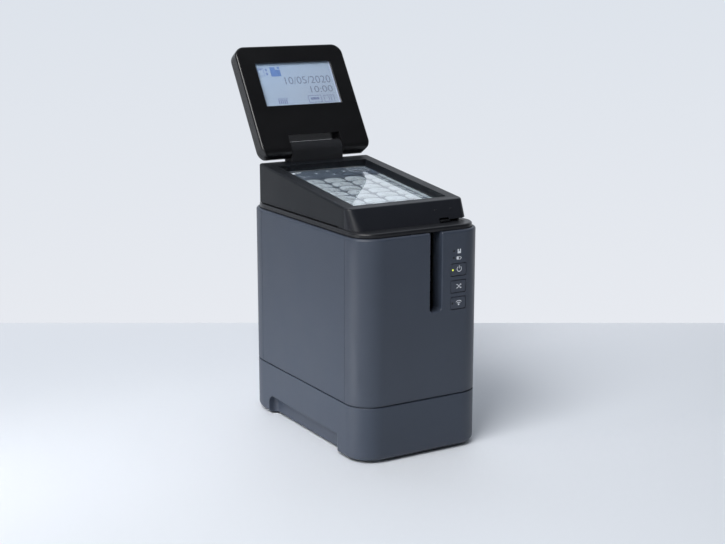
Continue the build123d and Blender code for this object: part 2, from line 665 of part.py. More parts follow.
def case_screws():
    """The like screws of the base plate, the main board and the gear plate."""
    screw = cross_head_screw(2.8, 1.7, 1.2, 7.0)
    places = [Pos(x, y, PLATE_Z[0] - 0.7) * screw for x, y in PLATE_SCREW_SPOTS]
    places += [Pos(x, y, GEAR_PLATE_Z[0] - 1.7) * screw for x, y in PLATE_POSTS]
    upturned = mirror(screw, about=Plane.XY)
    return places + [Pos(x, y, BOARD_Z[1] + 1.7) * upturned for x, y in STANDOFFS]


# What passes through the tub: the cutter's rack and motor, the latch arm, and the cover's rolled edge.
BLADE_Y = (-73.4, -72.2)
BLADE_TRAVEL = 5.0
RACK_PITCH_Z = 107.5
RACK_HALF_LENGTH = 6.3
CUTTER_TEETH = 12
CUTTER_SHAFT_X = 3.0
CUTTER_SHAFT_Z = RACK_PITCH_Z - MODULE * CUTTER_TEETH / 2
CUTTER_MOTOR_RADIUS = 7.0
RACK_END_X = CUTTER_SHAFT_X + 1.5 * pi * MODULE + 0.2
RACK_SLOT_X = (-RACK_HALF_LENGTH - 0.5, RACK_END_X + BLADE_TRAVEL + 0.5)
LATCH_ARM_X_SLOT = (32.6, 36.9)
LATCH_DECK_SLOT_Y = (-76.1, -68.9)
COVER_HINGE_Y = 80.0
COVER_HINGE_Z = 174.4
COVER_BARREL_RADIUS = 2.8


def well_plan(grow=0.0):
    """Plan of the cassette well and the printing bay in front of it."""
    plan = Sketch()
    for xs, ys in ((WELL_X, WELL_Y), (BAY_MECH_X, BAY_MECH_Y)):
        size = (xs[1] - xs[0] + 2 * grow, ys[1] - ys[0] + 2 * grow)
        plan += Pos(sum(xs) / 2, sum(ys) / 2) * RectangleRounded(*size, WELL_CORNER + grow)
    return plan


def cassette_tub():
    tub = slab(outline(WALL + 0.15), *DECK_Z) + slab(well_plan(WELL_WALL), WELL_FLOOR_Z[0], DECK_Z[0] + 1)
    tub -= slab(well_plan(), WELL_FLOOR_Z[1], FAR)
    lining = (SLOT_X[0] - SLOT_LINING - 0.2, SLOT_X[1] + SLOT_LINING + 0.2)
    tub -= block(lining, (FRONT_Y, SLOT_INNER_Y + 0.2), (DECK_Z[0] - 1, FAR))
    tub -= block(SLOT_X, (SLOT_INNER_Y - 1, BAY_MECH_Y[0] + 1), (SLOT_BOTTOM_Z, FAR))
    tub -= block(LATCH_ARM_X_SLOT, LATCH_DECK_SLOT_Y, (DECK_Z[0] - 1, FAR))
    for x, y in ((-40.0, -32.0), (26.0, 50.0)):
        tub += upright(x, y, 2.5, WELL_FLOOR_Z[1] - 0.5, 119)
    for x, y in PLATE_POSTS:
        tub += upright(x, y, 3.2, GEAR_PLATE_Z[1], WELL_FLOOR_Z[0] + 0.5)
        tub -= upright(x, y, 1.25, 80, WELL_FLOOR_Z[0])
    tub -= upright(*FEED, SHAFT_RADIUS + RUNNING_FIT, 90, FAR)
    tub -= upright(*SPINDLE, SPINDLE_SHAFT_RADIUS + RUNNING_FIT, 90, FAR)
    tub -= upright(*HOLDER_PIVOT, PIVOT_PIN_RADIUS + 0.01, WELL_FLOOR_Z[0] + 0.4, FAR)
    saddle_zs = (CUTTER_SHAFT_Z + 2, WELL_FLOOR_Z[0] + 0.5)
    saddle = block((CUTTER_SHAFT_X - 8, CUTTER_SHAFT_X + 8), (-84, -78.5), saddle_zs)
    tub += saddle - plunge(CUTTER_SHAFT_X, CUTTER_SHAFT_Z, CUTTER_MOTOR_RADIUS + 0.02, FRONT_Y, 0)
    floor_zs = (WELL_FLOOR_Z[0] - 1, WELL_FLOOR_Z[1] + 1)
    tub -= block(RACK_SLOT_X, (BLADE_Y[0] - 0.4, BLADE_Y[1] + 0.4), floor_zs)
    tub -= crossbar(COVER_HINGE_Y, COVER_HINGE_Z, COVER_BARREL_RADIUS + 0.5, -WIDTH, WIDTH)
    return tub


# Print head: a ceramic heater strip on an aluminium bracket that stands astride the roller's drive gear.
HEAD_X = 10.2
HEAD_Y = (-59.6, -48.4)


def heat_sink():
    sink = block((-7.0, -4.2), HEAD_Y, (WELL_FLOOR_Z[1], 120.6)) + block((-7.0, 7.4), HEAD_Y, (118.6, 120.6))
    sink += block((5.0, 7.4), HEAD_Y, (118.6, 160.0))
    for fin in range(3):
        y = HEAD_Y[0] + 1.2 + 4.4 * fin
        sink += block((-1.0, 5.2), (y - 0.8, y + 0.8), (120.4, 158.0))
    return sink


def print_head():
    head = block((7.4, 9.6), (HEAD_Y[0] + 0.6, HEAD_Y[1] - 0.6), (119.2, 158.6))
    glaze = Pos(9.6, PLATEN[1]) * Ellipse(HEAD_X - 9.6, 1.2)
    return head + slab(glaze, 119.2, 158.6)


# Cutter: a fixed blade plate across the bay and a sliding blade with a rack under the floor.
CUTTER_PLATE_Y = (-75.2, -73.8)
BLADE_EDGE_X = 8.6
CUTTER_PATH_X = (-4.0, 12.6)
CUTTER_Z = (116.0, 159.0)
CUTTER_TOP_Z = 163.0
RACK_TEETH = 4
CUTTER_MOTOR_Y = (-91.0, -77.5)


def cutter_frame():
    """Fixed plate with the tape window, and a channel below and above it that the blade slides in."""
    frame = block((-7, 28), CUTTER_PLATE_Y, (WELL_FLOOR_Z[1], CUTTER_TOP_Z))
    frame -= block(CUTTER_PATH_X, (FRONT_Y, 0), CUTTER_Z)
    rail_x = (-7, 18)
    lip_ys = (BLADE_Y[1] + 0.3, BLADE_Y[1] + 1.3)
    for z0, z1 in ((WELL_FLOOR_Z[1], CUTTER_Z[0] - 2.4), (CUTTER_Z[1] + 1.9, CUTTER_TOP_Z)):
        frame += block(rail_x, (CUTTER_PLATE_Y[1] - 0.1, lip_ys[0]), (z0, z1))
    frame += block(rail_x, lip_ys, (WELL_FLOOR_Z[1], CUTTER_Z[0] - 0.8))
    frame += block(rail_x, lip_ys, (CUTTER_Z[1] + 0.3, CUTTER_TOP_Z))
    rack_room = (WELL_FLOOR_Z[0], CUTTER_Z[0] - 2.2)
    return frame - block(RACK_SLOT_X, (CUTTER_PLATE_Y[1], lip_ys[0]), rack_room)


def cutter_blade():
    """Sliding blade with a slanted edge, running between the lips of the frame."""
    low, high = CUTTER_Z[0] - 2.1, CUTTER_Z[1] + 1.6
    profile = polygon([
        (-6.5, low),
        (BLADE_EDGE_X + 1.0, low),
        (BLADE_EDGE_X - 2.4, high),
        (-6.5, high),
    ])
    return front_prism(profile, *BLADE_Y) + rack()


def rack():
    """Toothed tongue that hangs from the blade through the floor."""
    pitch = pi * MODULE
    depths = [DEDENDUM * MODULE, 0.0, -ADDENDUM * MODULE]
    half_widths = [pitch / 4 - BACKLASH / 2 + depth * tan(PRESSURE_ANGLE) for depth in depths]
    flank = list(zip(half_widths, depths))
    points = [(-RACK_HALF_LENGTH, CUTTER_Z[0]), (-RACK_HALF_LENGTH, RACK_PITCH_Z + depths[0])]
    for tooth in range(RACK_TEETH):
        middle = CUTTER_SHAFT_X + (tooth - RACK_TEETH + 2) * pitch
        points += [(middle - half, RACK_PITCH_Z + depth) for half, depth in flank]
        points += [(middle + half, RACK_PITCH_Z + depth) for half, depth in flank[::-1]]
    points += [(RACK_END_X, RACK_PITCH_Z + depths[0]), (RACK_END_X, CUTTER_Z[0])]
    return front_prism(polygon(points), *BLADE_Y)


def cutter_pinion():
    """Pinion on the cutter motor's shaft, its gap upwards to take the rack's tooth."""
    centre = Pos(CUTTER_SHAFT_X, CUTTER_SHAFT_Z)
    blank = gear_blank(CUTTER_TEETH, MODULE, 90 + 180 / CUTTER_TEETH)
    pinion = front_prism(centre * blank, BLADE_Y[0] - 1.2, BLADE_Y[1] + 1.2)
    return pinion + plunge(CUTTER_SHAFT_X, CUTTER_SHAFT_Z, 1.0, CUTTER_MOTOR_Y[1] - 8, BLADE_Y[1] + 1.4)


def cutter_motor():
    """Small flat-sided motor under the tub's front edge."""
    can = plunge(CUTTER_SHAFT_X, CUTTER_SHAFT_Z, CUTTER_MOTOR_RADIUS, *CUTTER_MOTOR_Y)
    can &= block((-FAR, FAR), (FRONT_Y, 0), (CUTTER_SHAFT_Z - 5.4, FAR))
    can += plunge(CUTTER_SHAFT_X, CUTTER_SHAFT_Z, 2.6, CUTTER_MOTOR_Y[1], CUTTER_MOTOR_Y[1] + 1.2)
    return can - plunge(CUTTER_SHAFT_X, CUTTER_SHAFT_Z, 1.0 + RUNNING_FIT, CUTTER_MOTOR_Y[1] - 9, 0)


# Rear deck and cover hinge: the cover's rolled rear edge turns on two pins held by the deck's ears.
COVER_BARREL_X = 40.5
COVER_EAR_X = 41.0
COVER_PIN_X = (34.0, 46.0)
COVER_INSET = 2.8
COVER_Z = (173.9, COVER_TOP_Z)


def rear_deck():
    deck = slab(outline(COVER_INSET), BODY_TOP_Z, COVER_TOP_Z)
    deck = fillet(deck.edges().group_by(Axis.Z)[-1], 1.2)
    deck += slab(outline(WALL + 0.3), DECK_Z[1], BODY_TOP_Z)
    ears = deck & crossbar(COVER_HINGE_Y, COVER_HINGE_Z, COVER_BARREL_RADIUS, -WIDTH, WIDTH)
    webs = deck & block((-WIDTH, WIDTH), (COVER_HINGE_Y, REAR_Y), (0, FAR))
    ears = ears + webs - block((-COVER_EAR_X, COVER_EAR_X), (0, COVER_HINGE_Y + 5), (0, FAR))
    deck &= block((-WIDTH, WIDTH), (COVER_HINGE_Y, REAR_Y), (0, FAR))
    swept = COVER_BARREL_RADIUS + 0.35
    deck -= crossbar(COVER_HINGE_Y, COVER_HINGE_Z, swept, -WIDTH, WIDTH)
    deck -= block((-WIDTH, WIDTH), (COVER_HINGE_Y, COVER_HINGE_Y + swept), (COVER_HINGE_Z, FAR))
    deck += ears
    return deck - crossbar(COVER_HINGE_Y, COVER_HINGE_Z, 1.52, -COVER_PIN_X[1], COVER_PIN_X[1])


def cover_hinge_pins():
    pins = [crossbar(COVER_HINGE_Y, COVER_HINGE_Z, SHAFT_RADIUS, *COVER_PIN_X)]
    return pins + [mirror(pins[0], about=Plane.YZ)]


# Cover latch: lifting its lip in the front notch swings the hook forward, out from under the deck.
LATCH_LIP_X = (25.4, 33.2)
LATCH_ARM_X = (33.0, 36.5)
LATCH_PIVOT = (-72.0, 179.8)
LATCH_ARM_Y = (-73.5, -70.9)
LATCH_HOOK_Z = (160.0, 166.4)
LATCH_COVER_SLOT_Y = (-74.7, -70.3)
LATCH_LIP_Y = -80.6
LATCH_LIP_Z = (177.9, 179.1)
LATCH_PIN_RADIUS = 1.0


def cover_latch():
    """Lever with a finger lip, a pivot eye and a hooked arm."""
    eye_y, eye_z = LATCH_PIVOT
    latch = block(LATCH_LIP_X, (LATCH_LIP_Y, eye_y), LATCH_LIP_Z)
    latch += crossbar(eye_y, eye_z, 2.1, LATCH_LIP_X[0], LATCH_ARM_X[1])
    arm = polygon([
        (LATCH_ARM_Y[0], LATCH_HOOK_Z[0]),
        (LATCH_ARM_Y[1] + 0.2, LATCH_HOOK_Z[0]),
        (LATCH_DECK_SLOT_Y[1] - 0.4, LATCH_HOOK_Z[0] + 3.4),
        (LATCH_DECK_SLOT_Y[1] - 0.4, LATCH_HOOK_Z[1]),
        (LATCH_ARM_Y[1], LATCH_HOOK_Z[1]),
        (LATCH_ARM_Y[1], eye_z),
        (LATCH_ARM_Y[0], eye_z),
    ])
    latch += side_prism(arm, *LATCH_ARM_X)
    return latch - crossbar(eye_y, eye_z, LATCH_PIN_RADIUS + RUNNING_FIT, 0, WIDTH)


def latch_pin():
    return crossbar(*LATCH_PIVOT, LATCH_PIN_RADIUS, LATCH_LIP_X[0] - 2.4, LATCH_ARM_X[1] + 2.4)


def cover_plate():
    """Black plate that closes the body; its rear edge is rolled into the hinge barrel."""
    plate = slab(outline(COVER_INSET), *COVER_Z)
    plate = fillet(plate.edges().group_by(Axis.Z)[-1], 1.6)
    plate &= block((-WIDTH, WIDTH), (FRONT_Y, COVER_HINGE_Y - COVER_BARREL_RADIUS - 0.5), (0, FAR))
    rear = (COVER_HINGE_Y - COVER_BARREL_RADIUS - 1, COVER_HINGE_Y)
    plate += block((-COVER_BARREL_X, COVER_BARREL_X), rear, COVER_Z)
    plate += crossbar(COVER_HINGE_Y, COVER_HINGE_Z, COVER_BARREL_RADIUS, -COVER_BARREL_X, COVER_BARREL_X)
    for column in (-1, 0, 1):
        for row in range(4):
            x, y = 33.0 * column, -60 + 34.0 * row
            if column == 1 and row == 0:
                continue
            plate -= Pos(x, y, COVER_Z[0]) * extrude(RectangleRounded(30, 31, 2), 1.8)
    for y in (-10, 30):
        plate += block((-30, 16), (y - 1.2, y + 1.2), (164.0, COVER_Z[0] + 2.2))
    plate -= both_sides(crossbar(COVER_HINGE_Y, COVER_HINGE_Z, SHAFT_RADIUS + RUNNING_FIT, *COVER_PIN_X))
    return plate - block(LATCH_ARM_X_SLOT, LATCH_COVER_SLOT_Y, (0, FAR))


# Touch unit: a wedge-shaped tray on the cover plate. Its rim rises gently to the rear.
RIM_SLOPE = 0.118
RIM_Z = 201.4
RIM_TILT = atan(RIM_SLOPE)
RIM = Plane(origin=(0, 0, RIM_Z), x_dir=(1, 0, 0), z_dir=(0, -sin(RIM_TILT), cos(RIM_TILT)))
TRAY_HALF_WIDTH = 52.0
TRAY_REAR_Y = 74.5
TRAY_NOSE_TOP_Y = -71.0
TRAY_NOSE_BOTTOM_Y = -80.0
TRAY_SEAM_Y = -65.2
TRAY_WALL = 2.4
TRAY_BOTTOM_GROOVE = 1.0
TRAY_REAR_CORNER = 2.5
NOSE_BLEND_Y = -50.0
NOSE_CORNER_TOP = 5.0
NOSE_CORNER_BOTTOM = 9.0
NOSE_INNER_CORNER = 6.0
RIM_ROUNDING = 1.6
RECESS_X = 42.0
RECESS_Y = (-62.9, 59.5)
RECESS_DEPTH = 7.0
SHEET_THICKNESS = 0.8
GLASS_THICKNESS = 0.7
NOTCH_X = (24.6, 34.0)
NOTCH_HEIGHT = 3.4
LIFT_GAP_X = 29.0
LIFT_GAP_HEIGHT = 2.0
LATCH_EAR_TOP_Z = 187.0


def rim_height(y):
    """Height of the tray's rim at a station."""
    return RIM_Z + RIM_SLOPE * y


def on_rim(xs, ys, depths):
    """Box laid square to the sloping rim; stations are along the floor, depths along its normal."""
    lengths = [y / cos(RIM_TILT) for y in ys]
    return RIM * block(xs, lengths, depths)


def nose_front(z):
    """Station of the leaning nose at a height."""
    rise = rim_height(TRAY_NOSE_TOP_Y) - COVER_TOP_Z
    return TRAY_NOSE_BOTTOM_Y + (TRAY_NOSE_TOP_Y - TRAY_NOSE_BOTTOM_Y) * (z - COVER_TOP_Z) / rise


def nose_corner(z):
    """Corner radius of the nose, which shrinks with height."""
    rise = rim_height(TRAY_NOSE_TOP_Y) - COVER_TOP_Z
    return NOSE_CORNER_BOTTOM + (NOSE_CORNER_TOP - NOSE_CORNER_BOTTOM) * (z - COVER_TOP_Z) / rise


def nose_section(z):
    """Plan of the tray at a height, with its two front corners rounded."""
    front = nose_front(z)
    plan = Pos(0, (front + REAR_Y) / 2) * Rectangle(2 * TRAY_HALF_WIDTH, REAR_Y - front)
    return Pos(0, 0, z) * fillet(plan.vertices().group_by(Axis.Y)[0], nose_corner(z))


def tray_body():
    """Outside of the whole tray, shell and nose in one."""
    profile = polygon([
        (TRAY_REAR_Y, COVER_TOP_Z),
        (TRAY_REAR_Y, rim_height(TRAY_REAR_Y)),
        (FRONT_Y, rim_height(FRONT_Y)),
        (FRONT_Y, COVER_TOP_Z),
    ])
    body = side_prism(profile, -TRAY_HALF_WIDTH, TRAY_HALF_WIDTH)
    body = fillet(body.edges().filter_by(Axis.Z).group_by(Axis.Y)[-1], TRAY_REAR_CORNER)
    waste = block((-WIDTH, WIDTH), (FRONT_Y - 1, NOSE_BLEND_Y), (COVER_TOP_Z - 1, RIM_Z - 1))
    body -= waste - loft([nose_section(COVER_TOP_Z - 2), nose_section(RIM_Z)], ruled=True)
    top = body.faces().sort_by(Axis.Z)[-1]
    return fillet(top.outer_wire().edges(), RIM_ROUNDING)


def tray_room():
    """Hollow inside the tray, under the floor of the recess."""
    lid = -(RECESS_DEPTH + TRAY_WALL) / cos(RIM_TILT)
    half = TRAY_HALF_WIDTH - TRAY_WALL
    front_top = nose_front(rim_height(TRAY_NOSE_TOP_Y) + lid) + TRAY_WALL + 0.6
    front_bottom = nose_front(COVER_TOP_Z - 1) + TRAY_WALL + 0.6
    profile = polygon([
        (TRAY_REAR_Y - TRAY_WALL, COVER_TOP_Z - 1),
        (TRAY_REAR_Y - TRAY_WALL, rim_height(TRAY_REAR_Y - TRAY_WALL) + lid),
        (front_top, rim_height(front_top) + lid),
        (front_bottom, COVER_TOP_Z - 1),
    ])
    room = side_prism(profile, -half, half)
    front = Pos(0, (front_bottom + REAR_Y) / 2) * Rectangle(2 * half, REAR_Y - front_bottom)
    front = fillet(front.vertices().group_by(Axis.Y)[0], NOSE_INNER_CORNER)
    return room & slab(front, 0, FAR)


def tray_whole():
    tray = tray_body() - tray_room()
    return tray - on_rim((-RECESS_X, RECESS_X), RECESS_Y, (-RECESS_DEPTH, 10))


TRAY = tray_whole()


def tray_shell():
    shell = TRAY & block((-WIDTH, WIDTH), (TRAY_SEAM_Y + 0.1, REAR_Y), (0, FAR))
    inset = TRAY_HALF_WIDTH - 1.4
    foot = block((-inset, inset), (TRAY_SEAM_Y + 3, TRAY_REAR_Y - 1.4), (0, FAR))
    band_zs = (COVER_TOP_Z - 1, COVER_TOP_Z + TRAY_BOTTOM_GROOVE)
    band = block((-WIDTH, WIDTH), (TRAY_SEAM_Y + 8, REAR_Y), band_zs)
    return shell - (band - foot)


def nose_cap():
    nose = TRAY & block((-WIDTH, WIDTH), (FRONT_Y, TRAY_SEAM_Y - 0.1), (0, FAR))
    notch = RectangleRounded(NOTCH_X[1] - NOTCH_X[0], 2 * NOTCH_HEIGHT, 1.4)
    nose -= front_prism(Pos(sum(NOTCH_X) / 2, COVER_TOP_Z) * notch, FRONT_Y, TRAY_NOSE_TOP_Y)
    nose -= block((LIFT_GAP_X, WIDTH), (FRONT_Y, TRAY_SEAM_Y), (0, COVER_TOP_Z + LIFT_GAP_HEIGHT))
    for x in (LATCH_LIP_X[0] - 1.6, LATCH_ARM_X[1] + 1.6):
        ear_ys = (LATCH_PIVOT[0] - 3, LATCH_PIVOT[0] + 3)
        ear = block((x - 1.2, x + 1.2), ear_ys, (COVER_TOP_Z, LATCH_EAR_TOP_Z))
        nose += ear - crossbar(*LATCH_PIVOT, LATCH_PIN_RADIUS + 0.01, 0, WIDTH)
    return nose


def key_sheet():
    """Printed sheet of flat keys on the floor of the recess."""
    ys = (RECESS_Y[0] + 0.3, RECESS_Y[1] - 0.3)
    return on_rim((-RECESS_X + 0.3, RECESS_X - 0.3), ys, (-RECESS_DEPTH, -RECESS_DEPTH + SHEET_THICKNESS))


def touch_glass():
    low = -RECESS_DEPTH + SHEET_THICKNESS
    ys = (RECESS_Y[0] + 0.3, RECESS_Y[1] - 0.3)
    return on_rim((-RECESS_X + 0.3, RECESS_X - 0.3), ys, (low, low + GLASS_THICKNESS))


def touch_board():
    high = -(RECESS_DEPTH + TRAY_WALL)
    board = on_rim((-42, 42), (-56, 56), (high - 1.6, high))
    return board + on_rim((-12, 12), (20, 44), (high - 3.0, high - 1.6))


# Display: a slab on a friction hinge. Its lower edge is round about the hinge axis, and a notch in it takes
# the hinge block.
DISPLAY_LEAN = radians(32.4)
DISPLAY_HINGE_Y = 74.3
DISPLAY_HINGE_Z = 218.6
DISPLAY_HALF_WIDTH = 51.5
DISPLAY_REACH = 95.2
DISPLAY_HALF_THICKNESS = 7.0
DISPLAY_CORNER = 9.5
DISPLAY_FRONT_EDGE = 1.8
DISPLAY_REAR_EDGE = 3.4
DISPLAY_WALL = 2.0
DISPLAY_NOTCH_X = 24.5
DISPLAY_NOTCH_HEIGHT = 10.8
DISPLAY_ROOM_START = 15.0
DISPLAY_SHAFT_RADIUS = 2.5
DISPLAY_SHAFT_X = 37.0
WINDOW_X = 36.0
WINDOW_HEIGHT = (38.3, 78.9)
WINDOW_THICKNESS = 1.0
BLOCK_X = 24.0
BLOCK_Y = (67.4, 81.2)
PANEL = Plane(origin=(0, DISPLAY_HINGE_Y, DISPLAY_HINGE_Z), x_dir=(1, 0, 0),
              z_dir=(0, -cos(DISPLAY_LEAN), sin(DISPLAY_LEAN)))


def hinge_block():
    """Tower on the tray's rear rim whose rounded top carries the display's shaft."""
    tower = polygon([
        (BLOCK_Y[0], rim_height(BLOCK_Y[0])),
        (BLOCK_Y[0], DISPLAY_HINGE_Z),
        (BLOCK_Y[1], DISPLAY_HINGE_Z),
        (BLOCK_Y[1], 200.0),
        (TRAY_REAR_Y, 193.5),
        (TRAY_REAR_Y, rim_height(TRAY_REAR_Y)),
    ])
    profile = tower + Pos(DISPLAY_HINGE_Y, DISPLAY_HINGE_Z) * Circle(BLOCK_Y[1] - DISPLAY_HINGE_Y)
    body = side_prism(profile, -BLOCK_X, BLOCK_X) - tray_body()
    return body - crossbar(DISPLAY_HINGE_Y, DISPLAY_HINGE_Z, DISPLAY_SHAFT_RADIUS + 0.01, -WIDTH, WIDTH)


def display_shaft():
    return crossbar(DISPLAY_HINGE_Y, DISPLAY_HINGE_Z, DISPLAY_SHAFT_RADIUS, -DISPLAY_SHAFT_X, DISPLAY_SHAFT_X)


def display_slab():
    """Outside of the closed display, drawn upright about the hinge axis with its front towards +Z."""
    height = DISPLAY_REACH + DISPLAY_HALF_THICKNESS
    middle = (DISPLAY_REACH - DISPLAY_HALF_THICKNESS) / 2
    plan = Pos(0, middle) * RectangleRounded(2 * DISPLAY_HALF_WIDTH, height, DISPLAY_CORNER)
    body = slab(plan, -DISPLAY_HALF_THICKNESS, DISPLAY_HALF_THICKNESS)
    body = fillet(body.edges().group_by(Axis.Z)[-1], DISPLAY_FRONT_EDGE)
    body = fillet(body.edges().group_by(Axis.Z)[0], DISPLAY_REAR_EDGE)
    side = Circle(DISPLAY_HALF_THICKNESS) + Pos(height / 2, 0) * Rectangle(height, 2 * DISPLAY_HALF_THICKNESS)
    body &= side_prism(side, -WIDTH, WIDTH)
    notch_xs = (-DISPLAY_NOTCH_X, DISPLAY_NOTCH_X)
    body -= block(notch_xs, (-DISPLAY_HALF_THICKNESS - 1, DISPLAY_NOTCH_HEIGHT), (-20, 20))
    room_ys = (DISPLAY_ROOM_START, DISPLAY_REACH - DISPLAY_WALL)
    room_size = (2 * (DISPLAY_HALF_WIDTH - DISPLAY_WALL), room_ys[1] - room_ys[0])
    room = Pos(0, sum(room_ys) / 2) * RectangleRounded(*room_size, DISPLAY_CORNER - DISPLAY_WALL)
    body -= slab(room, -DISPLAY_HALF_THICKNESS + DISPLAY_WALL, DISPLAY_HALF_THICKNESS - DISPLAY_WALL)
    shaft = DISPLAY_SHAFT_RADIUS + RUNNING_FIT
    return body - crossbar(0, 0, shaft, -DISPLAY_SHAFT_X - 0.5, DISPLAY_SHAFT_X + 0.5)


DISPLAY_BODY = display_slab()


def display_bezel():
    bezel = DISPLAY_BODY & block((-WIDTH, WIDTH), (-20, 120), (0.15, 20))
    return PANEL * (bezel - block((-WINDOW_X, WINDOW_X), WINDOW_HEIGHT, (0, 20)))


def display_back_cover():
    return PANEL * (DISPLAY_BODY & block((-WIDTH, WIDTH), (-20, 120), (-20, -0.15)))


def display_window():
    ys = (WINDOW_HEIGHT[0] - 2, WINDOW_HEIGHT[1] + 2)
    top = DISPLAY_HALF_THICKNESS - DISPLAY_WALL
    return PANEL * block((-WINDOW_X - 2, WINDOW_X + 2), ys, (top - WINDOW_THICKNESS, top))


def lcd_module():
    ys = (WINDOW_HEIGHT[0] - 6, WINDOW_HEIGHT[1] + 5)
    top = DISPLAY_HALF_THICKNESS - DISPLAY_WALL - WINDOW_THICKNESS - 0.1
    return PANEL * block((-WINDOW_X - 5, WINDOW_X + 5), ys, (-0.4, top))


def display_board():
    board = block((-42, 42), (20, 86), (-2.4, -0.8)) + block((-12, 8), (24, 34), (-4.2, -2.4))
    return PANEL * board


def solids_of(shape):
    """Every separate solid of a piece or of a group of pieces."""
    shapes = shape if isinstance(shape, list) else [shape]
    return [solid for item in shapes for solid in item.solids()]


NODES = {
    "base_shell": base_shell,
    "base_bottom_plate": base_bottom_plate,
    "battery_pack": battery_pack,
    "battery_cover": battery_cover,
    "rubber_feet": rubber_feet,
    "coin_screws": coin_screws,
    "base_board": base_board,
    "dock_connector": dock_connector,
    "front_cover": front_cover,
    "left_side_panel": lambda: side_panel(-1),
    "right_side_panel": lambda: side_panel(1),
    "rear_cover": rear_cover,
    "bottom_chassis": bottom_chassis,
    "main_board": main_board,
    "port_board": port_board,
    "dc_jack": dc_jack,
    "usb_ports": lambda: [usb_device_socket(), usb_host_socket()],
    "modular_ports": lambda: [modular_port("lan_port", 11.8, 8.4), modular_port("serial_port", 9.8, 6.8)],
    "power_button": lambda: front_button("power", True),
    "feed_cut_button": lambda: front_button("feed_cut", False),
    "wireless_button": lambda: front_button("wireless", True),
    "power_lamp": lambda: lamp_lens(BUTTON_LAMP_X, BUTTON_ZS["power"]),
    "wireless_lamp": lambda: lamp_lens(BUTTON_LAMP_X, BUTTON_ZS["wireless"]),
    "panel_lamps": panel_lamps,
    "button_board": button_board,
    "cassette_tub": cassette_tub,
    "gear_plate": gear_plate,
    "case_screws": case_screws,
    "drive_motor": drive_motor,
    "motor_pinion": motor_pinion,
    "idler_gear": idler_gear,
    "feed_shaft": feed_shaft,
    "ribbon_spindle": ribbon_spindle,
    "platen_shaft": platen_roller,
    "platen_rubber": platen_rubber,
    "roller_holder": roller_holder,
    "holder_pivot_pin": holder_pivot_pin,
    "heat_sink": heat_sink,
    "print_head": print_head,
    "cutter_frame": cutter_frame,
    "cutter_blade": cutter_blade,
    "cutter_pinion": cutter_pinion,
    "cutter_motor": cutter_motor,
    "rear_deck": rear_deck,
    "cover_hinge_pins": cover_hinge_pins,
    "cover_latch": cover_latch,
    "latch_pin": latch_pin,
    "cover_plate": cover_plate,
    "tray_shell": tray_shell,
    "nose_cap": nose_cap,
    "key_sheet": key_sheet,
    "touch_glass": touch_glass,
    "touch_board": touch_board,
    "hinge_block": hinge_block,
    "display_shaft": display_shaft,
    "display_bezel": display_bezel,
    "display_back_cover": display_back_cover,
    "display_window": display_window,
    "lcd_module": lcd_module,
    "display_board": display_board,
}

# The display's rear edge is what reaches furthest back; half of that overhang moves the origin.
REARMOST_Y = (DISPLAY_HINGE_Y + (DISPLAY_REACH - DISPLAY_REAR_EDGE) * sin(DISPLAY_LEAN)
              + (DISPLAY_HALF_THICKNESS - DISPLAY_REAR_EDGE) * cos(DISPLAY_LEAN) + DISPLAY_REAR_EDGE)
ORIGIN_Y = (FRONT_Y + REARMOST_Y) / 2

os.makedirs("parts", exist_ok=True)
for node, make in NODES.items():
    placed = [Pos(0, -ORIGIN_Y, 0) * solid for solid in solids_of(make())]
    export_step(placed[0] if len(placed) == 1 else Compound(children=placed), f"parts/{node}.step")
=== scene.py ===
import bpy
import math
from mathutils import Matrix, Vector


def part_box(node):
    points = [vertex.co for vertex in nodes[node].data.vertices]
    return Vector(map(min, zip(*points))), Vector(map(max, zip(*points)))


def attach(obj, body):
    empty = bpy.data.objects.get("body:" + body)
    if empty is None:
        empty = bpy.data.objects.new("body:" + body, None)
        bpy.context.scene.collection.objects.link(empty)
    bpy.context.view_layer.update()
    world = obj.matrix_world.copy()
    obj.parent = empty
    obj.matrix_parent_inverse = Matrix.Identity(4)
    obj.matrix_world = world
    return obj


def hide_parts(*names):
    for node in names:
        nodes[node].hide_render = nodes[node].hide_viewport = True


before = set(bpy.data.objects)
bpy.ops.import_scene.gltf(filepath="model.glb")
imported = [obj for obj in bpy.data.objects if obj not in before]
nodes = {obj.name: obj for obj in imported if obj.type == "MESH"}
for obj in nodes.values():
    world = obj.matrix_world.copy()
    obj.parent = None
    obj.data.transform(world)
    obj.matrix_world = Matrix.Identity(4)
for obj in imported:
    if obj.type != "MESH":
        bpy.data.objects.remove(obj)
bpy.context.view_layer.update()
mm = 0.001

# The camera stands to the left of the front, a little above the machine, with a long lens. The printer is
# turned 31 degrees to it, and the picture is cropped so that the lens looks just above its middle.
picture_width = 725
rise_of_axis = 12.6
turn = math.radians(-30.86)
dip = 12.10
stand = (-0.5558, -0.9526, 0.3701)
long_lens = 68.29
bpy.ops.object.camera_add(location=stand, rotation=(math.radians(90 - dip), 0, turn))
camera = bpy.context.object
camera.data.sensor_width = 36
camera.data.lens = long_lens
camera.data.shift_y = -rise_of_axis / picture_width
camera.data.clip_start = 0.05
bpy.context.scene.camera = camera
bpy.context.scene.view_settings.view_transform = "Standard"


# The studio is a pale table that runs back to an upright paper backdrop, both a cool white. The table takes
# the machine's soft shadow. The backdrop is seen from its front only, so it doesn't hide the rear views.
def add(tree, kind, values=None, **settings):
    """A shader node with its settings, and its sockets set to values or joined to other sockets."""
    made = tree.nodes.new("ShaderNode" + kind)
    for name, value in settings.items():
        setattr(made, name, value)
    for name, value in (values or {}).items():
        if isinstance(value, bpy.types.NodeSocket):
            tree.links.new(value, made.inputs[name])
        else:
            made.inputs[name].default_value = value
    return made


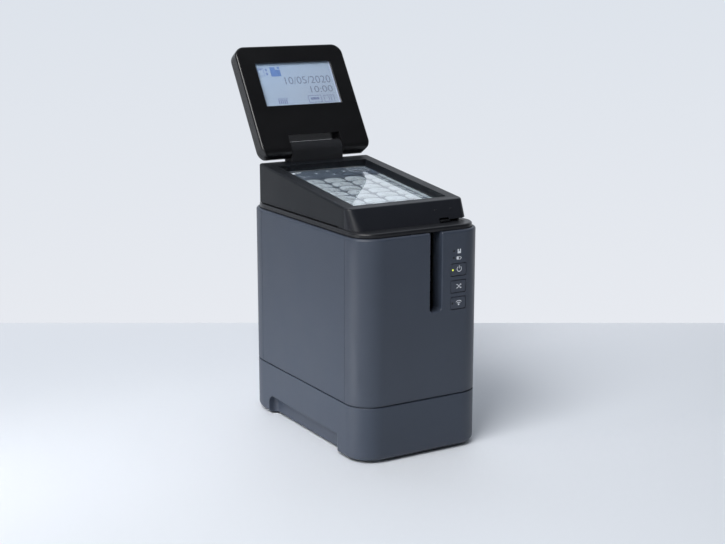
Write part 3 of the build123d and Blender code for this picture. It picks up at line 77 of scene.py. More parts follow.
def new_material(name):
    """An empty material: its node tree and its output node."""
    material = bpy.data.materials.new(name)
    material.use_nodes = True
    material.node_tree.nodes.clear()
    return material, material.node_tree, material.node_tree.nodes.new("ShaderNodeOutputMaterial")


def linear(red, green, blue):
    """A colour given from 0 to 255, as light values."""
    shares = [c / 255 for c in (red, green, blue)]
    return (*[s / 12.92 if s < 0.04045 else ((s + 0.055) / 1.055) ** 2.4 for s in shares], 1)


table_paint, tree, output = new_material("table_paint")
coords = add(tree, "TexCoord").outputs["Object"]
unevenness = add(tree, "TexNoise", {"Vector": coords, "Scale": 1.2, "Detail": 3})
tones = {"Color1": linear(220, 224, 230), "Color2": linear(225, 229, 235)}
tone = add(tree, "MixRGB", {"Fac": unevenness.outputs["Fac"], **tones})
shader = add(tree, "BsdfPrincipled", {"Base Color": tone.outputs["Color"], "Roughness": 0.6})
tree.links.new(shader.outputs["BSDF"], output.inputs["Surface"])

bpy.ops.mesh.primitive_circle_add(vertices=96, radius=4, fill_type="NGON", location=(0, 0, 0))
table = bpy.context.object
table.name = "table"
table.data.materials.append(table_paint)

# The backdrop gives off its own light with a painted falloff: paler near the table and greyer higher up.
backdrop_paper, tree, output = new_material("backdrop_paper")
coords = add(tree, "TexCoord").outputs["Object"]
height = add(tree, "SeparateXYZ", {"Vector": coords}).outputs["Z"]
painted_falloff = add(tree, "MapRange", {"Value": height, "From Min": 0.0, "From Max": 0.5})
tones = {"Color1": linear(231, 234, 240), "Color2": linear(217, 224, 233)}
tone = add(tree, "MixRGB", {"Fac": painted_falloff.outputs["Result"], **tones})
glow = add(tree, "Emission", {"Color": tone.outputs["Color"], "Strength": 1.0})
clear = add(tree, "BsdfTransparent")
back = add(tree, "NewGeometry").outputs["Backfacing"]
mix = add(tree, "MixShader", {"Fac": back, 1: glow.outputs[0], 2: clear.outputs[0]})
tree.links.new(mix.outputs[0], output.inputs["Surface"])

backdrop_distance = 0.303
backdrop_width, backdrop_height = 1.3, 2.5
away = Vector((-math.sin(turn), math.cos(turn), 0))
bpy.ops.mesh.primitive_plane_add(
    size=1,
    location=away * backdrop_distance + Vector((0, 0, backdrop_height / 2)),
    rotation=(math.radians(90), 0, turn),
)
backdrop = bpy.context.object
backdrop.name = "backdrop"
backdrop.scale = (backdrop_width, backdrop_height, 1)
bpy.ops.object.transform_apply(location=True, rotation=True, scale=True)
backdrop.data.materials.append(backdrop_paper)

world = bpy.data.worlds.new("studio_air")
bpy.context.scene.world = world
world.use_nodes = True
tree = world.node_tree
tree.nodes.clear()
path = add(tree, "LightPath").outputs
seen = add(tree, "Math", {0: path["Is Camera Ray"], 1: path["Is Transmission Ray"]}, operation="MAXIMUM")
direction = add(tree, "TexCoord").outputs["Generated"]
towards = add(tree, "VectorMath", {0: direction, 1: away}, operation="DOT_PRODUCT").outputs["Value"]
lightness = add(tree, "MapRange", {"Value": towards, "From Min": 0.5, "From Max": 0.9, "To Min": 0.03})
plain = add(tree, "Background", {"Color": linear(226, 232, 240), "Strength": 0.2})
mirrored = add(tree, "Background", {"Color": linear(226, 231, 238), "Strength": lightness.outputs["Result"]})
shown = add(tree, "Background", {"Color": linear(226, 231, 238), "Strength": 1.0})
mix = add(tree, "MixShader", {"Fac": path["Is Glossy Ray"], 1: plain.outputs[0], 2: mirrored.outputs[0]})
mix = add(tree, "MixShader", {"Fac": seen.outputs[0], 1: mix.outputs[0], 2: shown.outputs[0]})
tree.links.new(mix.outputs[0], tree.nodes.new("ShaderNodeOutputWorld").inputs["Surface"])


# One large softbox hangs high to the left of the front and casts the shadow. A small lamp with a grid stands
# low on the left and lifts the side wall, most of all near the table.
def softbox(name, place, size, power, aim=(0, 0, 0.12), spread=180):
    """A square area lamp that faces the machine, its light kept within a cone of that many degrees."""
    bpy.ops.object.light_add(type="AREA", location=place)
    lamp = bpy.context.object
    lamp.name = name
    lamp.data.shape = "SQUARE"
    lamp.data.size = size
    lamp.data.energy = power
    lamp.data.spread = math.radians(spread)
    lamp.rotation_euler = (Vector(place) - Vector(aim)).to_track_quat("Z", "Y").to_euler()


softbox("key_lamp", (-0.95, -0.55, 1.3), 0.9, 26)
softbox("side_card", (-0.9, 0.05, 0.1), 0.16, 0.23, (0, 0, -0.07), 36)


# The battery base is a blue-grey moulded skirt with a flush plate screwed under it. Its plastics are textured
# mouldings: a fine grain, a slightly uneven gloss, edges that are never quite sharp, and a painted highlight
# that pales their edges.
def start_group(name, inputs, outputs):
    """A shader node group with named inputs and outputs: its tree, what it is given and what it gives."""
    group = bpy.data.node_groups.new(name, "ShaderNodeTree")
    for label, value in inputs.items():
        kind = {1: "Float", 3: "Vector", 4: "Color"}[len(value) if isinstance(value, tuple) else 1]
        socket = group.interface.new_socket(label, in_out="INPUT", socket_type="NodeSocket" + kind)
        socket.default_value = value
    for label, kind in outputs.items():
        group.interface.new_socket(label, in_out="OUTPUT", socket_type="NodeSocket" + kind)
    return group, group.nodes.new("NodeGroupInput").outputs, group.nodes.new("NodeGroupOutput").inputs


finish = {"Colour": "Color", "Roughness": "Float", "Normal": "Vector"}
moulded_plastic, given, gives = start_group(
    "moulded_plastic",
    {"Colour": (0.1, 0.1, 0.1, 1), "Gloss": 0.5, "Grain": 2600.0, "Depth": 0.00003, "Edge": 0.0003,
     "Wear": 0.08, "Dust": 0.02},
    finish,
)
tree = moulded_plastic
coords = add(tree, "TexCoord").outputs["Object"]
grain = add(tree, "TexNoise", {"Vector": coords, "Scale": given["Grain"], "Detail": 2.0})
cloudiness = {"Scale": 22.0, "Detail": 5.0, "Roughness": 0.6}
clouds = add(tree, "TexNoise", {"Vector": coords, **cloudiness}).outputs["Fac"]
spread = {"Value": clouds, "From Min": 0.3, "From Max": 0.7}
shade = add(tree, "MapRange", {**spread, "To Min": 0.95, "To Max": 1.05})
tinted = add(tree, "VectorMath", {0: given["Colour"], "Scale": shade.outputs["Result"]}, operation="SCALE")
geometry = add(tree, "NewGeometry").outputs
rounded = add(tree, "Bevel", {"Radius": given["Edge"]}, samples=4).outputs["Normal"]
upright = add(tree, "SeparateXYZ", {"Vector": geometry["Normal"]}).outputs["Z"]
facing_up = add(tree, "MapRange", {"Value": upright, "From Min": 0.5, "From Max": 1.0})
motes = add(tree, "TexNoise", {"Vector": coords, "Scale": 900.0, "Detail": 4.0, "Roughness": 0.8})
settled = add(tree, "MapRange", {"Value": motes.outputs["Fac"], "From Min": 0.5, "From Max": 0.72})
dusty = add(tree, "Math", {0: facing_up.outputs[0], 1: settled.outputs[0]}, operation="MULTIPLY")
dusty = add(tree, "Math", {0: dusty.outputs[0], 1: given["Dust"]}, operation="MULTIPLY")
# Painted highlight: the colour turns paler towards the edges, where they would catch the light. Settled dust
# pales up-facing surfaces.
turned = add(tree, "VectorMath", {0: rounded, 1: geometry["Normal"]}, operation="DOT_PRODUCT")
edge = add(tree, "MapRange", {"Value": turned.outputs["Value"], "From Min": 0.97, "From Max": 0.75})
painted_edge_highlight = add(tree, "Math", {0: edge.outputs["Result"], 1: given["Wear"]}, operation="MULTIPLY")
dust_and_edge_highlight = add(tree, "Math", {0: dusty.outputs[0], 1: painted_edge_highlight.outputs[0]}, operation="MAXIMUM")
tones = {"Color1": tinted.outputs["Vector"], "Color2": (0.5, 0.52, 0.56, 1)}
coloured = add(tree, "MixRGB", {"Fac": dust_and_edge_highlight.outputs[0], **tones})
tree.links.new(coloured.outputs["Color"], gives["Colour"])
uneven = add(tree, "MapRange", {**spread, "To Min": -0.04, "To Max": 0.05})
rough = add(tree, "Math", {0: given["Gloss"], 1: uneven.outputs["Result"]}, operation="ADD")
tree.links.new(rough.outputs[0], gives["Roughness"])
relief = add(tree, "Bump", {"Height": grain.outputs["Fac"], "Distance": given["Depth"], "Normal": rounded})
tree.links.new(relief.outputs["Normal"], gives["Normal"])


def use_group(tree, group, values):
    """A group node, placed in a material with its own values."""
    made = tree.nodes.new("ShaderNodeGroup")
    made.node_tree = group
    for name, value in values.items():
        made.inputs[name].default_value = value
    return made.outputs


def surfaced(name, group, values, **plain):
    """A material with colour, roughness and relief from a group, and the shader's own values in plain."""
    material, tree, output = new_material(name)
    made = use_group(tree, group, values)
    sockets = {"Base Color": made["Colour"], "Roughness": made["Roughness"], "Normal": made["Normal"]}
    sockets.update({label.replace("_", " "): value for label, value in plain.items()})
    shader = add(tree, "BsdfPrincipled", sockets)
    tree.links.new(shader.outputs["BSDF"], output.inputs["Surface"])
    return material


def plastic(name, colour, gloss, **values):
    """A moulded plastic with its own colour, gloss and grain."""
    return surfaced(name, moulded_plastic, {"Colour": linear(*colour), "Gloss": gloss, **values})


def paint(material, *names):
    """Gives CAD nodes their finish."""
    for name in names:
        nodes[name].data.materials.clear()
        nodes[name].data.materials.append(material)


case_grey = plastic("case_grey", (54, 62, 76), 0.46)
black_moulding = plastic("black_moulding", (34, 35, 38), 0.55, Grain=1800.0)
pack_moulding = plastic("pack_moulding", (42, 43, 46), 0.38, Grain=3200.0)
foot_rubber = plastic("foot_rubber", (26, 26, 27), 0.8, Grain=1200.0, Depth=0.00008)
paint(case_grey, "base_shell")
paint(black_moulding, "base_bottom_plate", "battery_cover")
paint(pack_moulding, "battery_pack")
paint(foot_rubber, "rubber_feet")


# The cover of the battery bay carries a moulded arrow that shows which way it slides off. It is a raised
# triangle in the same plastic, beside the grip ribs.
def flat_box(left, low, right, high, corner=0.0):
    """A filled rectangle drawn flat, in millimetres, its corners rounded."""
    bpy.ops.object.select_all(action="DESELECT")
    middle = ((left + right) / 2 * mm, (low + high) / 2 * mm, 0)
    bpy.ops.mesh.primitive_plane_add(size=1, location=middle)
    shape = bpy.context.object
    shape.scale = ((right - left) * mm, (high - low) * mm, 1)
    bpy.ops.object.transform_apply(location=True, rotation=True, scale=True)
    if corner:
        bpy.ops.object.mode_set(mode="EDIT")
        bpy.ops.mesh.bevel(offset=corner * mm, segments=4, affect="VERTICES")
        bpy.ops.object.mode_set(mode="OBJECT")
    return shape


def flat_round(x, y, radius, corners=40, pointing=0.0):
    """A filled disc drawn flat, or a triangle where it has three corners."""
    bpy.ops.object.select_all(action="DESELECT")
    bpy.ops.mesh.primitive_circle_add(
        vertices=corners, radius=radius * mm, fill_type="NGON",
        location=(x * mm, y * mm, 0), rotation=(0, 0, math.radians(pointing - 90)),
    )
    bpy.ops.object.transform_apply(location=True, rotation=True, scale=True)
    return bpy.context.object


def surface(x, y, z, climb):
    """Where a flat drawing lies: its origin, and how steeply its second axis climbs towards the rear."""
    return Matrix.Translation((x * mm, y * mm, z * mm)) @ Matrix.Rotation(math.radians(climb), 4, "X")


def lay(piece, place):
    """Puts a piece on its surface, with its place in its mesh."""
    bpy.ops.object.select_all(action="DESELECT")
    piece.select_set(True)
    bpy.context.view_layer.objects.active = piece
    piece.matrix_world = place @ piece.matrix_world
    bpy.ops.object.transform_apply(location=True, rotation=True, scale=True)
    return piece


def raise_shapes(name, shapes, low, high, place):
    """Joins flat shapes, gives them their thickness and lays them on a surface."""
    bpy.ops.object.select_all(action="DESELECT")
    for shape in shapes:
        shape.select_set(True)
    bpy.context.view_layer.objects.active = shapes[0]
    if len(shapes) > 1:
        bpy.ops.object.join()
    piece = bpy.context.object
    piece.name = name
    bpy.ops.object.mode_set(mode="EDIT")
    bpy.ops.mesh.select_all(action="SELECT")
    bpy.ops.mesh.extrude_region_move(TRANSFORM_OT_translate={"value": (0, 0, (high - low) * mm)})
    bpy.ops.mesh.select_all(action="SELECT")
    bpy.ops.mesh.normals_make_consistent(inside=False)
    bpy.ops.object.mode_set(mode="OBJECT")
    return lay(piece, place @ Matrix.Translation((0, 0, low * mm)))


def fit(piece, material, body):
    """Gives a finished piece its material and the body it moves with."""
    piece.data.materials.clear()
    piece.data.materials.append(material)
    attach(piece, body)


cover_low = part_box("battery_cover")[0]
underside = Matrix.Translation((0, 0, cover_low.z)) @ Matrix.Rotation(math.pi, 4, "X")
arrow = raise_shapes("slide_arrow", [flat_round(0, -10.0, 3.2, 3, 90)], -0.1, 0.3, underside)
fit(arrow, black_moulding, "printer")


# The coin screws, the board and the dock plug inside the base. The screws are turned steel with a dull zinc
# plating, the board is green glass fibre with tinned tracks, and the plug is black glass-filled nylon.
machined_metal, given, gives = start_group(
    "machined_metal",
    {"Colour": (0.5, 0.5, 0.5, 1), "Gloss": 0.3, "Stretch": (1.0, 1.0, 1.0), "Lines": 900.0, "Depth": 0.00001,
     "Edge": 0.0002},
    finish,
)
tree = machined_metal
coords = add(tree, "TexCoord").outputs["Object"]
drawn = add(tree, "VectorMath", {0: coords, 1: given["Stretch"]}, operation="MULTIPLY")
lines = add(tree, "TexNoise", {"Vector": drawn.outputs[0], "Scale": given["Lines"], "Detail": 3.0})
lines = lines.outputs["Fac"]
stain = add(tree, "TexNoise", {"Vector": coords, "Scale": 60.0, "Detail": 4.0}).outputs["Fac"]
middle_band = {"From Min": 0.3, "From Max": 0.7}
shade = add(tree, "MapRange", {"Value": stain, **middle_band, "To Min": 0.86, "To Max": 1.06})
tinted = add(tree, "VectorMath", {0: given["Colour"], "Scale": shade.outputs[0]}, operation="SCALE")
tree.links.new(tinted.outputs["Vector"], gives["Colour"])
uneven = add(tree, "MapRange", {"Value": lines, **middle_band, "To Min": -0.07, "To Max": 0.1})
rough = add(tree, "Math", {0: given["Gloss"], 1: uneven.outputs["Result"]}, operation="ADD")
tree.links.new(rough.outputs[0], gives["Roughness"])
rounded = add(tree, "Bevel", {"Radius": given["Edge"]}, samples=4).outputs["Normal"]
relief = add(tree, "Bump", {"Height": lines, "Distance": given["Depth"], "Normal": rounded})
tree.links.new(relief.outputs["Normal"], gives["Normal"])


def metal(name, colour, gloss, **values):
    """A metal with its own colour, gloss and tool marks."""
    return surfaced(name, machined_metal, {"Colour": linear(*colour), "Gloss": gloss, **values}, Metallic=1.0)


circuit, given, gives = start_group("circuit", {"Mask": (0.02, 0.12, 0.05, 1), "Pads": 240.0}, finish)
tree = circuit
coords = add(tree, "TexCoord").outputs["Object"]
runs = add(tree, "TexBrick", {"Vector": coords, "Scale": 180.0, "Mortar Size": 0.06, "Brick Width": 0.9,
                              "Color1": (0.0, 0.0, 0.0, 1), "Color2": (0.0, 0.0, 0.0, 1),
                              "Mortar": (1.0, 1.0, 1.0, 1)}).outputs["Color"]
pads = add(tree, "TexVoronoi", {"Vector": coords, "Scale": given["Pads"]}).outputs["Distance"]
tinned = add(tree, "MapRange", {"Value": pads, "From Min": 0.16, "From Max": 0.13}).outputs["Result"]
tones = {"Color1": given["Mask"], "Color2": (0.05, 0.24, 0.10, 1)}
tracks = add(tree, "MixRGB", {"Fac": runs, **tones})
tones = {"Color1": tracks.outputs["Color"], "Color2": (0.55, 0.52, 0.45, 1)}
populated = add(tree, "MixRGB", {"Fac": tinned, **tones})
tree.links.new(populated.outputs["Color"], gives["Colour"])
rough = add(tree, "MapRange", {"Value": tinned, "To Min": 0.38, "To Max": 0.25})
tree.links.new(rough.outputs["Result"], gives["Roughness"])
relief = add(tree, "Bump", {"Height": tinned, "Distance": 0.00005})
tree.links.new(relief.outputs["Normal"], gives["Normal"])

screw_steel = metal("screw_steel", (176, 176, 172), 0.3)
board_green = surfaced("board_green", circuit, {})
black_nylon = plastic("black_nylon", (22, 22, 23), 0.42, Grain=3000.0)
paint(screw_steel, "coin_screws", "case_screws", "cover_hinge_pins", "latch_pin")
paint(screw_steel, "display_shaft", "holder_pivot_pin")
paint(board_green, "base_board", "main_board", "port_board", "button_board", "touch_board", "display_board")
paint(black_nylon, "dock_connector", "dc_jack")


# The printer's body is three wall panels, moulded in the base's blue-grey plastic, that hook on a flat black
# chassis. Slim gaps part them from the front cover and from the base.
paint(case_grey, "left_side_panel", "right_side_panel", "rear_cover")
paint(black_moulding, "bottom_chassis")


# The front cover is moulded in the same grey. The signs beside its lamps and on its keys are pad printed in
# white: a label, a battery, power, feed and cut, and wireless.
def flat_bar(x0, y0, x1, y1, width):
    """A straight stroke drawn flat."""
    bpy.ops.object.select_all(action="DESELECT")
    middle = ((x0 + x1) / 2 * mm, (y0 + y1) / 2 * mm, 0)
    bpy.ops.mesh.primitive_plane_add(size=1, location=middle, rotation=(0, 0, math.atan2(y1 - y0, x1 - x0)))
    shape = bpy.context.object
    shape.scale = (math.hypot(x1 - x0, y1 - y0) * mm, width * mm, 1)
    bpy.ops.object.transform_apply(location=True, rotation=True, scale=True)
    return shape


def hollow_out(shape, width):
    """Leaves only a band of a filled shape, along its edge."""
    bpy.ops.object.mode_set(mode="EDIT")
    bpy.ops.mesh.select_mode(type="FACE")
    bpy.ops.mesh.select_all(action="SELECT")
    bpy.ops.mesh.inset(thickness=width * mm)
    bpy.ops.mesh.delete(type="FACE")
    bpy.ops.mesh.select_mode(type="VERT")
    bpy.ops.object.mode_set(mode="OBJECT")
    return shape


def flat_frame(left, low, right, high, width, corner):
    """An outlined rectangle."""
    return hollow_out(flat_box(left, low, right, high, corner), width)


def flat_arc(x, y, radius, width, start=0.0, end=360.0):
    """A ring, or the part of it between two angles."""
    ring = hollow_out(flat_round(x, y, radius), width)
    bpy.ops.object.mode_set(mode="EDIT")
    bpy.ops.mesh.select_mode(type="FACE")
    bpy.ops.mesh.select_all(action="DESELECT")
    bpy.ops.object.mode_set(mode="OBJECT")
    for face in ring.data.polygons:
        angle = math.degrees(math.atan2(face.center.y - y * mm, face.center.x - x * mm)) % 360
        face.select = not start <= angle <= end
    bpy.ops.object.mode_set(mode="EDIT")
    bpy.ops.mesh.delete(type="FACE")
    bpy.ops.mesh.select_mode(type="VERT")
    bpy.ops.object.mode_set(mode="OBJECT")
    return ring


front_grey = plastic("front_grey", (57, 64, 77), 0.42)
key_grey = plastic("key_grey", (58, 64, 76), 0.40, Edge=0.0002)
paint(front_grey, "front_cover")
paint(key_grey, "power_button", "feed_cut_button", "wireless_button")
thin_print = {"Depth": 0.000004, "Edge": 0.00001, "Dust": 0.0}
white_print = plastic("white_print", (222, 226, 232), 0.5, Grain=5000.0, **thin_print)

front_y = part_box("front_cover")[0].y / mm
front_face = surface(0, front_y, 0, 90)
sign_skin = (-0.04, 0.02)
line = 0.5
signs = {
    "label_sign": ("printer", "dark_front", [
        flat_box(30.0, 155.8, 33.0, 157.5, 0.3), flat_box(30.0, 157.3, 31.0, 159.2, 0.2),
        flat_box(32.0, 157.3, 33.0, 159.2, 0.2),
    ]),
    "battery_sign": ("printer", "dark_front", [
        flat_frame(29.1, 151.0, 33.2, 153.5, 0.34, 0.8), flat_box(29.4, 151.3, 31.1, 153.2),
        flat_box(33.2, 151.8, 33.7, 152.7, 0.1),
    ]),
    "power_sign": ("power_key", "button_grey", [
        flat_arc(31.7, 143.7, 2.25, line, 128, 360), flat_arc(31.7, 143.7, 2.25, line, 0, 52),
        flat_bar(31.7, 144.1, 31.7, 146.5, line),
    ]),
    "feed_cut_sign": ("feed_cut_key", "button_grey", [
        flat_bar(30.2, 128.9, 33.0, 131.6, line), flat_bar(30.2, 131.6, 33.0, 128.9, line),
        flat_bar(29.3, 128.9, 30.3, 128.9, line), flat_bar(29.3, 131.6, 30.3, 131.6, line),
        flat_round(33.3, 129.0, 0.8, 3, 0), flat_round(33.3, 131.5, 0.8, 3, 0),
    ]),
    "wireless_sign": ("wireless_key", "button_grey", [
        flat_arc(31.6, 115.4, 3.8, line, 42, 138), flat_arc(31.6, 115.4, 2.3, line, 42, 138),
        flat_round(31.6, 115.9, 0.7, 24),
    ]),
}
for name, (body, slot, shapes) in signs.items():
    fit(raise_shapes(name, shapes, *sign_skin, front_face), white_print, body)


# Four light pipes of smoky acrylic end flush with the front. The one on the power key is lit yellow-green,
# brighter in its middle, and the others are dark.
smoked_lens = plastic("smoked_lens", (18, 20, 24), 0.16, Grain=600.0, Depth=0.00001)
paint(smoked_lens, "panel_lamps", "wireless_lamp")

lit_lens, tree, output = new_material("lit_lens")
low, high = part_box("power_lamp")
middle = ((low.x + high.x) / 2, low.y, (low.z + high.z) / 2)
coords = add(tree, "TexCoord").outputs["Object"]
reach = add(tree, "VectorMath", {0: coords, 1: middle}, operation="DISTANCE").outputs["Value"]
centre = add(tree, "MapRange", {"Value": reach, "From Min": 0.0009, "From Max": 0.0002}).outputs["Result"]
tones = {"Color1": linear(150, 172, 30), "Color2": linear(226, 238, 90)}
tone = add(tree, "MixRGB", {"Fac": centre, **tones}).outputs["Color"]
sockets = {"Base Color": tone, "Emission Color": tone, "Emission Strength": 0.9, "Roughness": 0.2}
shader = add(tree, "BsdfPrincipled", sockets)
tree.links.new(shader.outputs["BSDF"], output.inputs["Surface"])
paint(lit_lens, "power_lamp")


# The sockets at the rear: a power jack and two modular jacks in black nylon, and two data sockets with tinned
# steel shells. Their contacts are gold-plated strips that lie in the mouths, pressed in one by one.
def contact(width, length, thickness, bend):
    """One strip along the depth of a socket, its outer end bent down."""
    bpy.ops.object.select_all(action="DESELECT")
    bpy.ops.mesh.primitive_cube_add(size=1, location=(0, -length / 2 * mm, 0))
    strip = bpy.context.object
    strip.scale = (width * mm, length * mm, thickness * mm)
    bpy.ops.object.transform_apply(location=True, rotation=True, scale=True)
    bpy.ops.object.mode_set(mode="EDIT")
    bpy.ops.mesh.select_all(action="SELECT")
    bpy.ops.mesh.subdivide(number_cuts=3)
    bpy.ops.mesh.select_all(action="DESELECT")
    bpy.ops.object.mode_set(mode="OBJECT")
    for point in strip.data.vertices:
        point.select = point.co.y > -0.3 * length * mm
    bpy.ops.object.mode_set(mode="EDIT")
    bpy.ops.transform.translate(value=(0, 0, -bend * mm))
    bpy.ops.object.mode_set(mode="OBJECT")
    return strip


def row_of(first, count, step):
    """A piece and its copies in a row, each with its own mesh, joined into one."""
    made = [first]
    for place in range(1, count):
        copy = first.copy()
        copy.data = first.data.copy()
        bpy.context.collection.objects.link(copy)
        copy.location = Vector(step) * mm * place
        made.append(copy)
    bpy.ops.object.select_all(action="DESELECT")
    for copy in made:
        copy.select_set(True)
    bpy.context.view_layer.objects.active = first
    bpy.ops.object.join()
    return first


shell_steel = metal("shell_steel", (188, 188, 184), 0.24, Stretch=(1.0, 1.0, 6.0))
gold_plate = metal("gold_plate", (214, 170, 84), 0.22, Lines=1600.0)
paint(shell_steel, "usb_ports")
paint(black_nylon, "modular_ports")
mouth_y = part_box("modular_ports")[1].y / mm
set_back = 2.0
for name, x, z, count, pitch, width, length, bend in (
    ("lan_contacts", 14.6, 72.0, 8, 1.02, 0.45, 8.0, 0.9),
    ("serial_contacts", -12.6, 92.0, 6, 1.02, 0.45, 8.0, 0.9),
    ("usb_device_contacts", -1.8, 67.75, 4, 1.2, 0.7, 6.0, 0.0),
    ("usb_host_contacts", 8.4, 86.05, 4, 2.4, 1.2, 6.0, 0.0),
):
    strips = row_of(contact(width, length, 0.2, bend), count, (pitch, 0, 0))
    strips.name = name
    start = Matrix.Translation(Vector((x - pitch * (count - 1) / 2, mouth_y - set_back, z)) * mm)
    fit(lay(strips, start), gold_plate, "printer")


# The cassette tub is one deep black moulding. In it stand the feed gears of milky acetal on steel shafts, the
# rubber roller in its swinging holder, and under it the motors with their brass pinions on a steel plate.
paint(black_moulding, "cassette_tub", "roller_holder")
brass = metal("brass", (196, 160, 92), 0.3, Lines=2000.0)
motor_can = metal("motor_can", (150, 150, 150), 0.34, Stretch=(1.0, 1.0, 0.1))
zinc_sheet = metal("zinc_sheet", (172, 174, 172), 0.32, Stretch=(0.15, 1.0, 1.0), Depth=0.00002)
paint(brass, "motor_pinion", "cutter_pinion")
paint(motor_can, "drive_motor", "cutter_motor")
paint(zinc_sheet, "gear_plate", "cutter_frame")


def gear_on_shaft(node, shaft_radius):
    """Milky acetal, with turned steel within the shaft's radius of the node's upright axis."""
    material, tree, output = new_material(node + "_finish")
    low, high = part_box(node)
    coords = add(tree, "TexCoord").outputs["Object"]
    level = add(tree, "VectorMath", {0: coords, 1: (1.0, 1.0, 0.0)}, operation="MULTIPLY").outputs[0]
    axis = ((low.x + high.x) / 2, (low.y + high.y) / 2, 0)
    reach = add(tree, "VectorMath", {0: level, 1: axis}, operation="DISTANCE").outputs["Value"]
    steel = add(tree, "Math", {0: reach, 1: shaft_radius * mm}, operation="LESS_THAN").outputs[0]
    acetal = use_group(tree, moulded_plastic, {"Colour": linear(226, 222, 208), "Gloss": 0.36, "Wear": 0.0})
    turned = use_group(tree, machined_metal, {"Colour": linear(190, 190, 188), "Stretch": (0.2, 0.2, 3.0)})
    tones = {"Color1": acetal["Colour"], "Color2": turned["Colour"]}
    tone = add(tree, "MixRGB", {"Fac": steel, **tones}).outputs["Color"]
    range_of_gloss = {"To Min": acetal["Roughness"], "To Max": turned["Roughness"]}
    rough = add(tree, "MapRange", {"Value": steel, **range_of_gloss})
    sockets = {"Base Color": tone, "Roughness": rough.outputs["Result"], "Metallic": steel}
    shader = add(tree, "BsdfPrincipled", {**sockets, "Normal": acetal["Normal"]})
    tree.links.new(shader.outputs["BSDF"], output.inputs["Surface"])
    return material


shaft_radii = {"idler_gear": 1.5, "feed_shaft": 1.55, "ribbon_spindle": 2.05, "platen_shaft": 1.55}
for node, shaft_radius in shaft_radii.items():
    paint(gear_on_shaft(node, shaft_radius), node)
roller_rubber = plastic("roller_rubber", (30, 30, 31), 0.72, Grain=4200.0, Depth=0.00006, Wear=0.02)
paint(roller_rubber, "platen_rubber")


# The print head is a white ceramic strip with a dark glazed line of heaters, on an extruded aluminium heat
# sink. The cutter's blade is ground spring steel, bright along its slanted edge.
sink_aluminium = metal("sink_aluminium", (196, 198, 200), 0.38, Stretch=(1.0, 1.0, 0.08), Lines=2400.0)
blade_steel = metal("blade_steel", (186, 188, 190), 0.2, Stretch=(0.1, 1.0, 1.0), Lines=3000.0)
paint(sink_aluminium, "heat_sink")
paint(blade_steel, "cutter_blade")

head_ceramic, tree, output = new_material("head_ceramic")
fired = use_group(tree, moulded_plastic, {"Colour": linear(214, 212, 204), "Gloss": 0.3, "Grain": 3600.0})
head_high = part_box("print_head")[1]
heater_band = 0.5
heater_edge = head_high.x - heater_band * mm
coords = add(tree, "TexCoord").outputs["Object"]
across = add(tree, "SeparateXYZ", {"Vector": coords}).outputs["X"]
heaters = add(tree, "Math", {0: across, 1: heater_edge}, operation="GREATER_THAN").outputs[0]
tones = {"Color1": fired["Colour"], "Color2": linear(52, 40, 34)}
tone = add(tree, "MixRGB", {"Fac": heaters, **tones}).outputs["Color"]
sockets = {"Base Color": tone, "Roughness": fired["Roughness"], "Normal": fired["Normal"]}
shader = add(tree, "BsdfPrincipled", sockets)
tree.links.new(shader.outputs["BSDF"], output.inputs["Surface"])
paint(head_ceramic, "print_head")


# The cover plate and the rear deck are satin black mouldings. The plate turns on two steel pins at its rear,
# and the latch in its front edge is lifted with a fingertip.
satin_black = plastic("satin_black", (22, 23, 27), 0.36, Grain=3000.0, Wear=0.05)
latch_black = plastic("latch_black", (24, 25, 28), 0.34, Grain=3000.0)
paint(satin_black, "cover_plate", "rear_deck")
paint(latch_black, "cover_latch")


# The touch unit's tray and the cap on its nose are mouldings in near-black grey, the tray's the darker one.
# Their fine texture keeps reflections faint.
tray_grey = plastic("tray_grey", (13, 17, 23), 0.44, Grain=3000.0, Wear=0.05)
nose_grey = plastic("nose_grey", (29, 31, 37), 0.40, Grain=3000.0, Wear=0.05)
faint_shine = 0.32
for material in (tray_grey, nose_grey):
    material.node_tree.nodes["Principled BSDF"].inputs["Specular IOR Level"].default_value = faint_shine
paint(tray_grey, "tray_shell")
paint(nose_grey, "nose_cap")


# The touch sheet is printed film on a stiff backing: pale keys with arched tops that stand slightly proud, a
# dark header with arrow keys, and plain numbers. It is held down by the glass over it.
tilt = math.degrees(math.atan(0.118))
along = 1 / math.cos(math.radians(tilt))
origin_y = -16.9644
tray_floor = surface(0, origin_y, 201.4, tilt) @ Matrix.Scale(along, 4, (0, 1, 0))
backing_skin = (-7.0, -6.72)
header_skin = (-6.72, -6.62)
key_skin = (-6.72, -6.32)
ink_skin = (-6.34, -6.29)

film_grey = plastic("film_grey", (70, 79, 92), 0.45, Grain=5200.0, Depth=0.00001, Dust=0.0)
header_blue = plastic("header_blue", (66, 76, 90), 0.4, Grain=5200.0, Depth=0.00001, Dust=0.0)
key_pale = plastic("key_pale", (158, 167, 174), 0.42, Grain=4600.0, Depth=0.00001, Dust=0.0)
key_ink = plastic("key_ink", (92, 100, 112), 0.5, Grain=5200.0, **thin_print)
header_ink = plastic("header_ink", (206, 212, 220), 0.5, Grain=5200.0, **thin_print)

backing = raise_shapes("key_backing", [flat_box(-41.7, -62.6, 41.7, 59.2, 1.0)], *backing_skin, tray_floor)
fit(backing, film_grey, "cover")
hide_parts("key_sheet")
header = raise_shapes("key_header", [flat_box(-41.2, 36.0, 41.2, 58.8, 0.8)], *header_skin, tray_floor)
fit(header, header_blue, "cover")


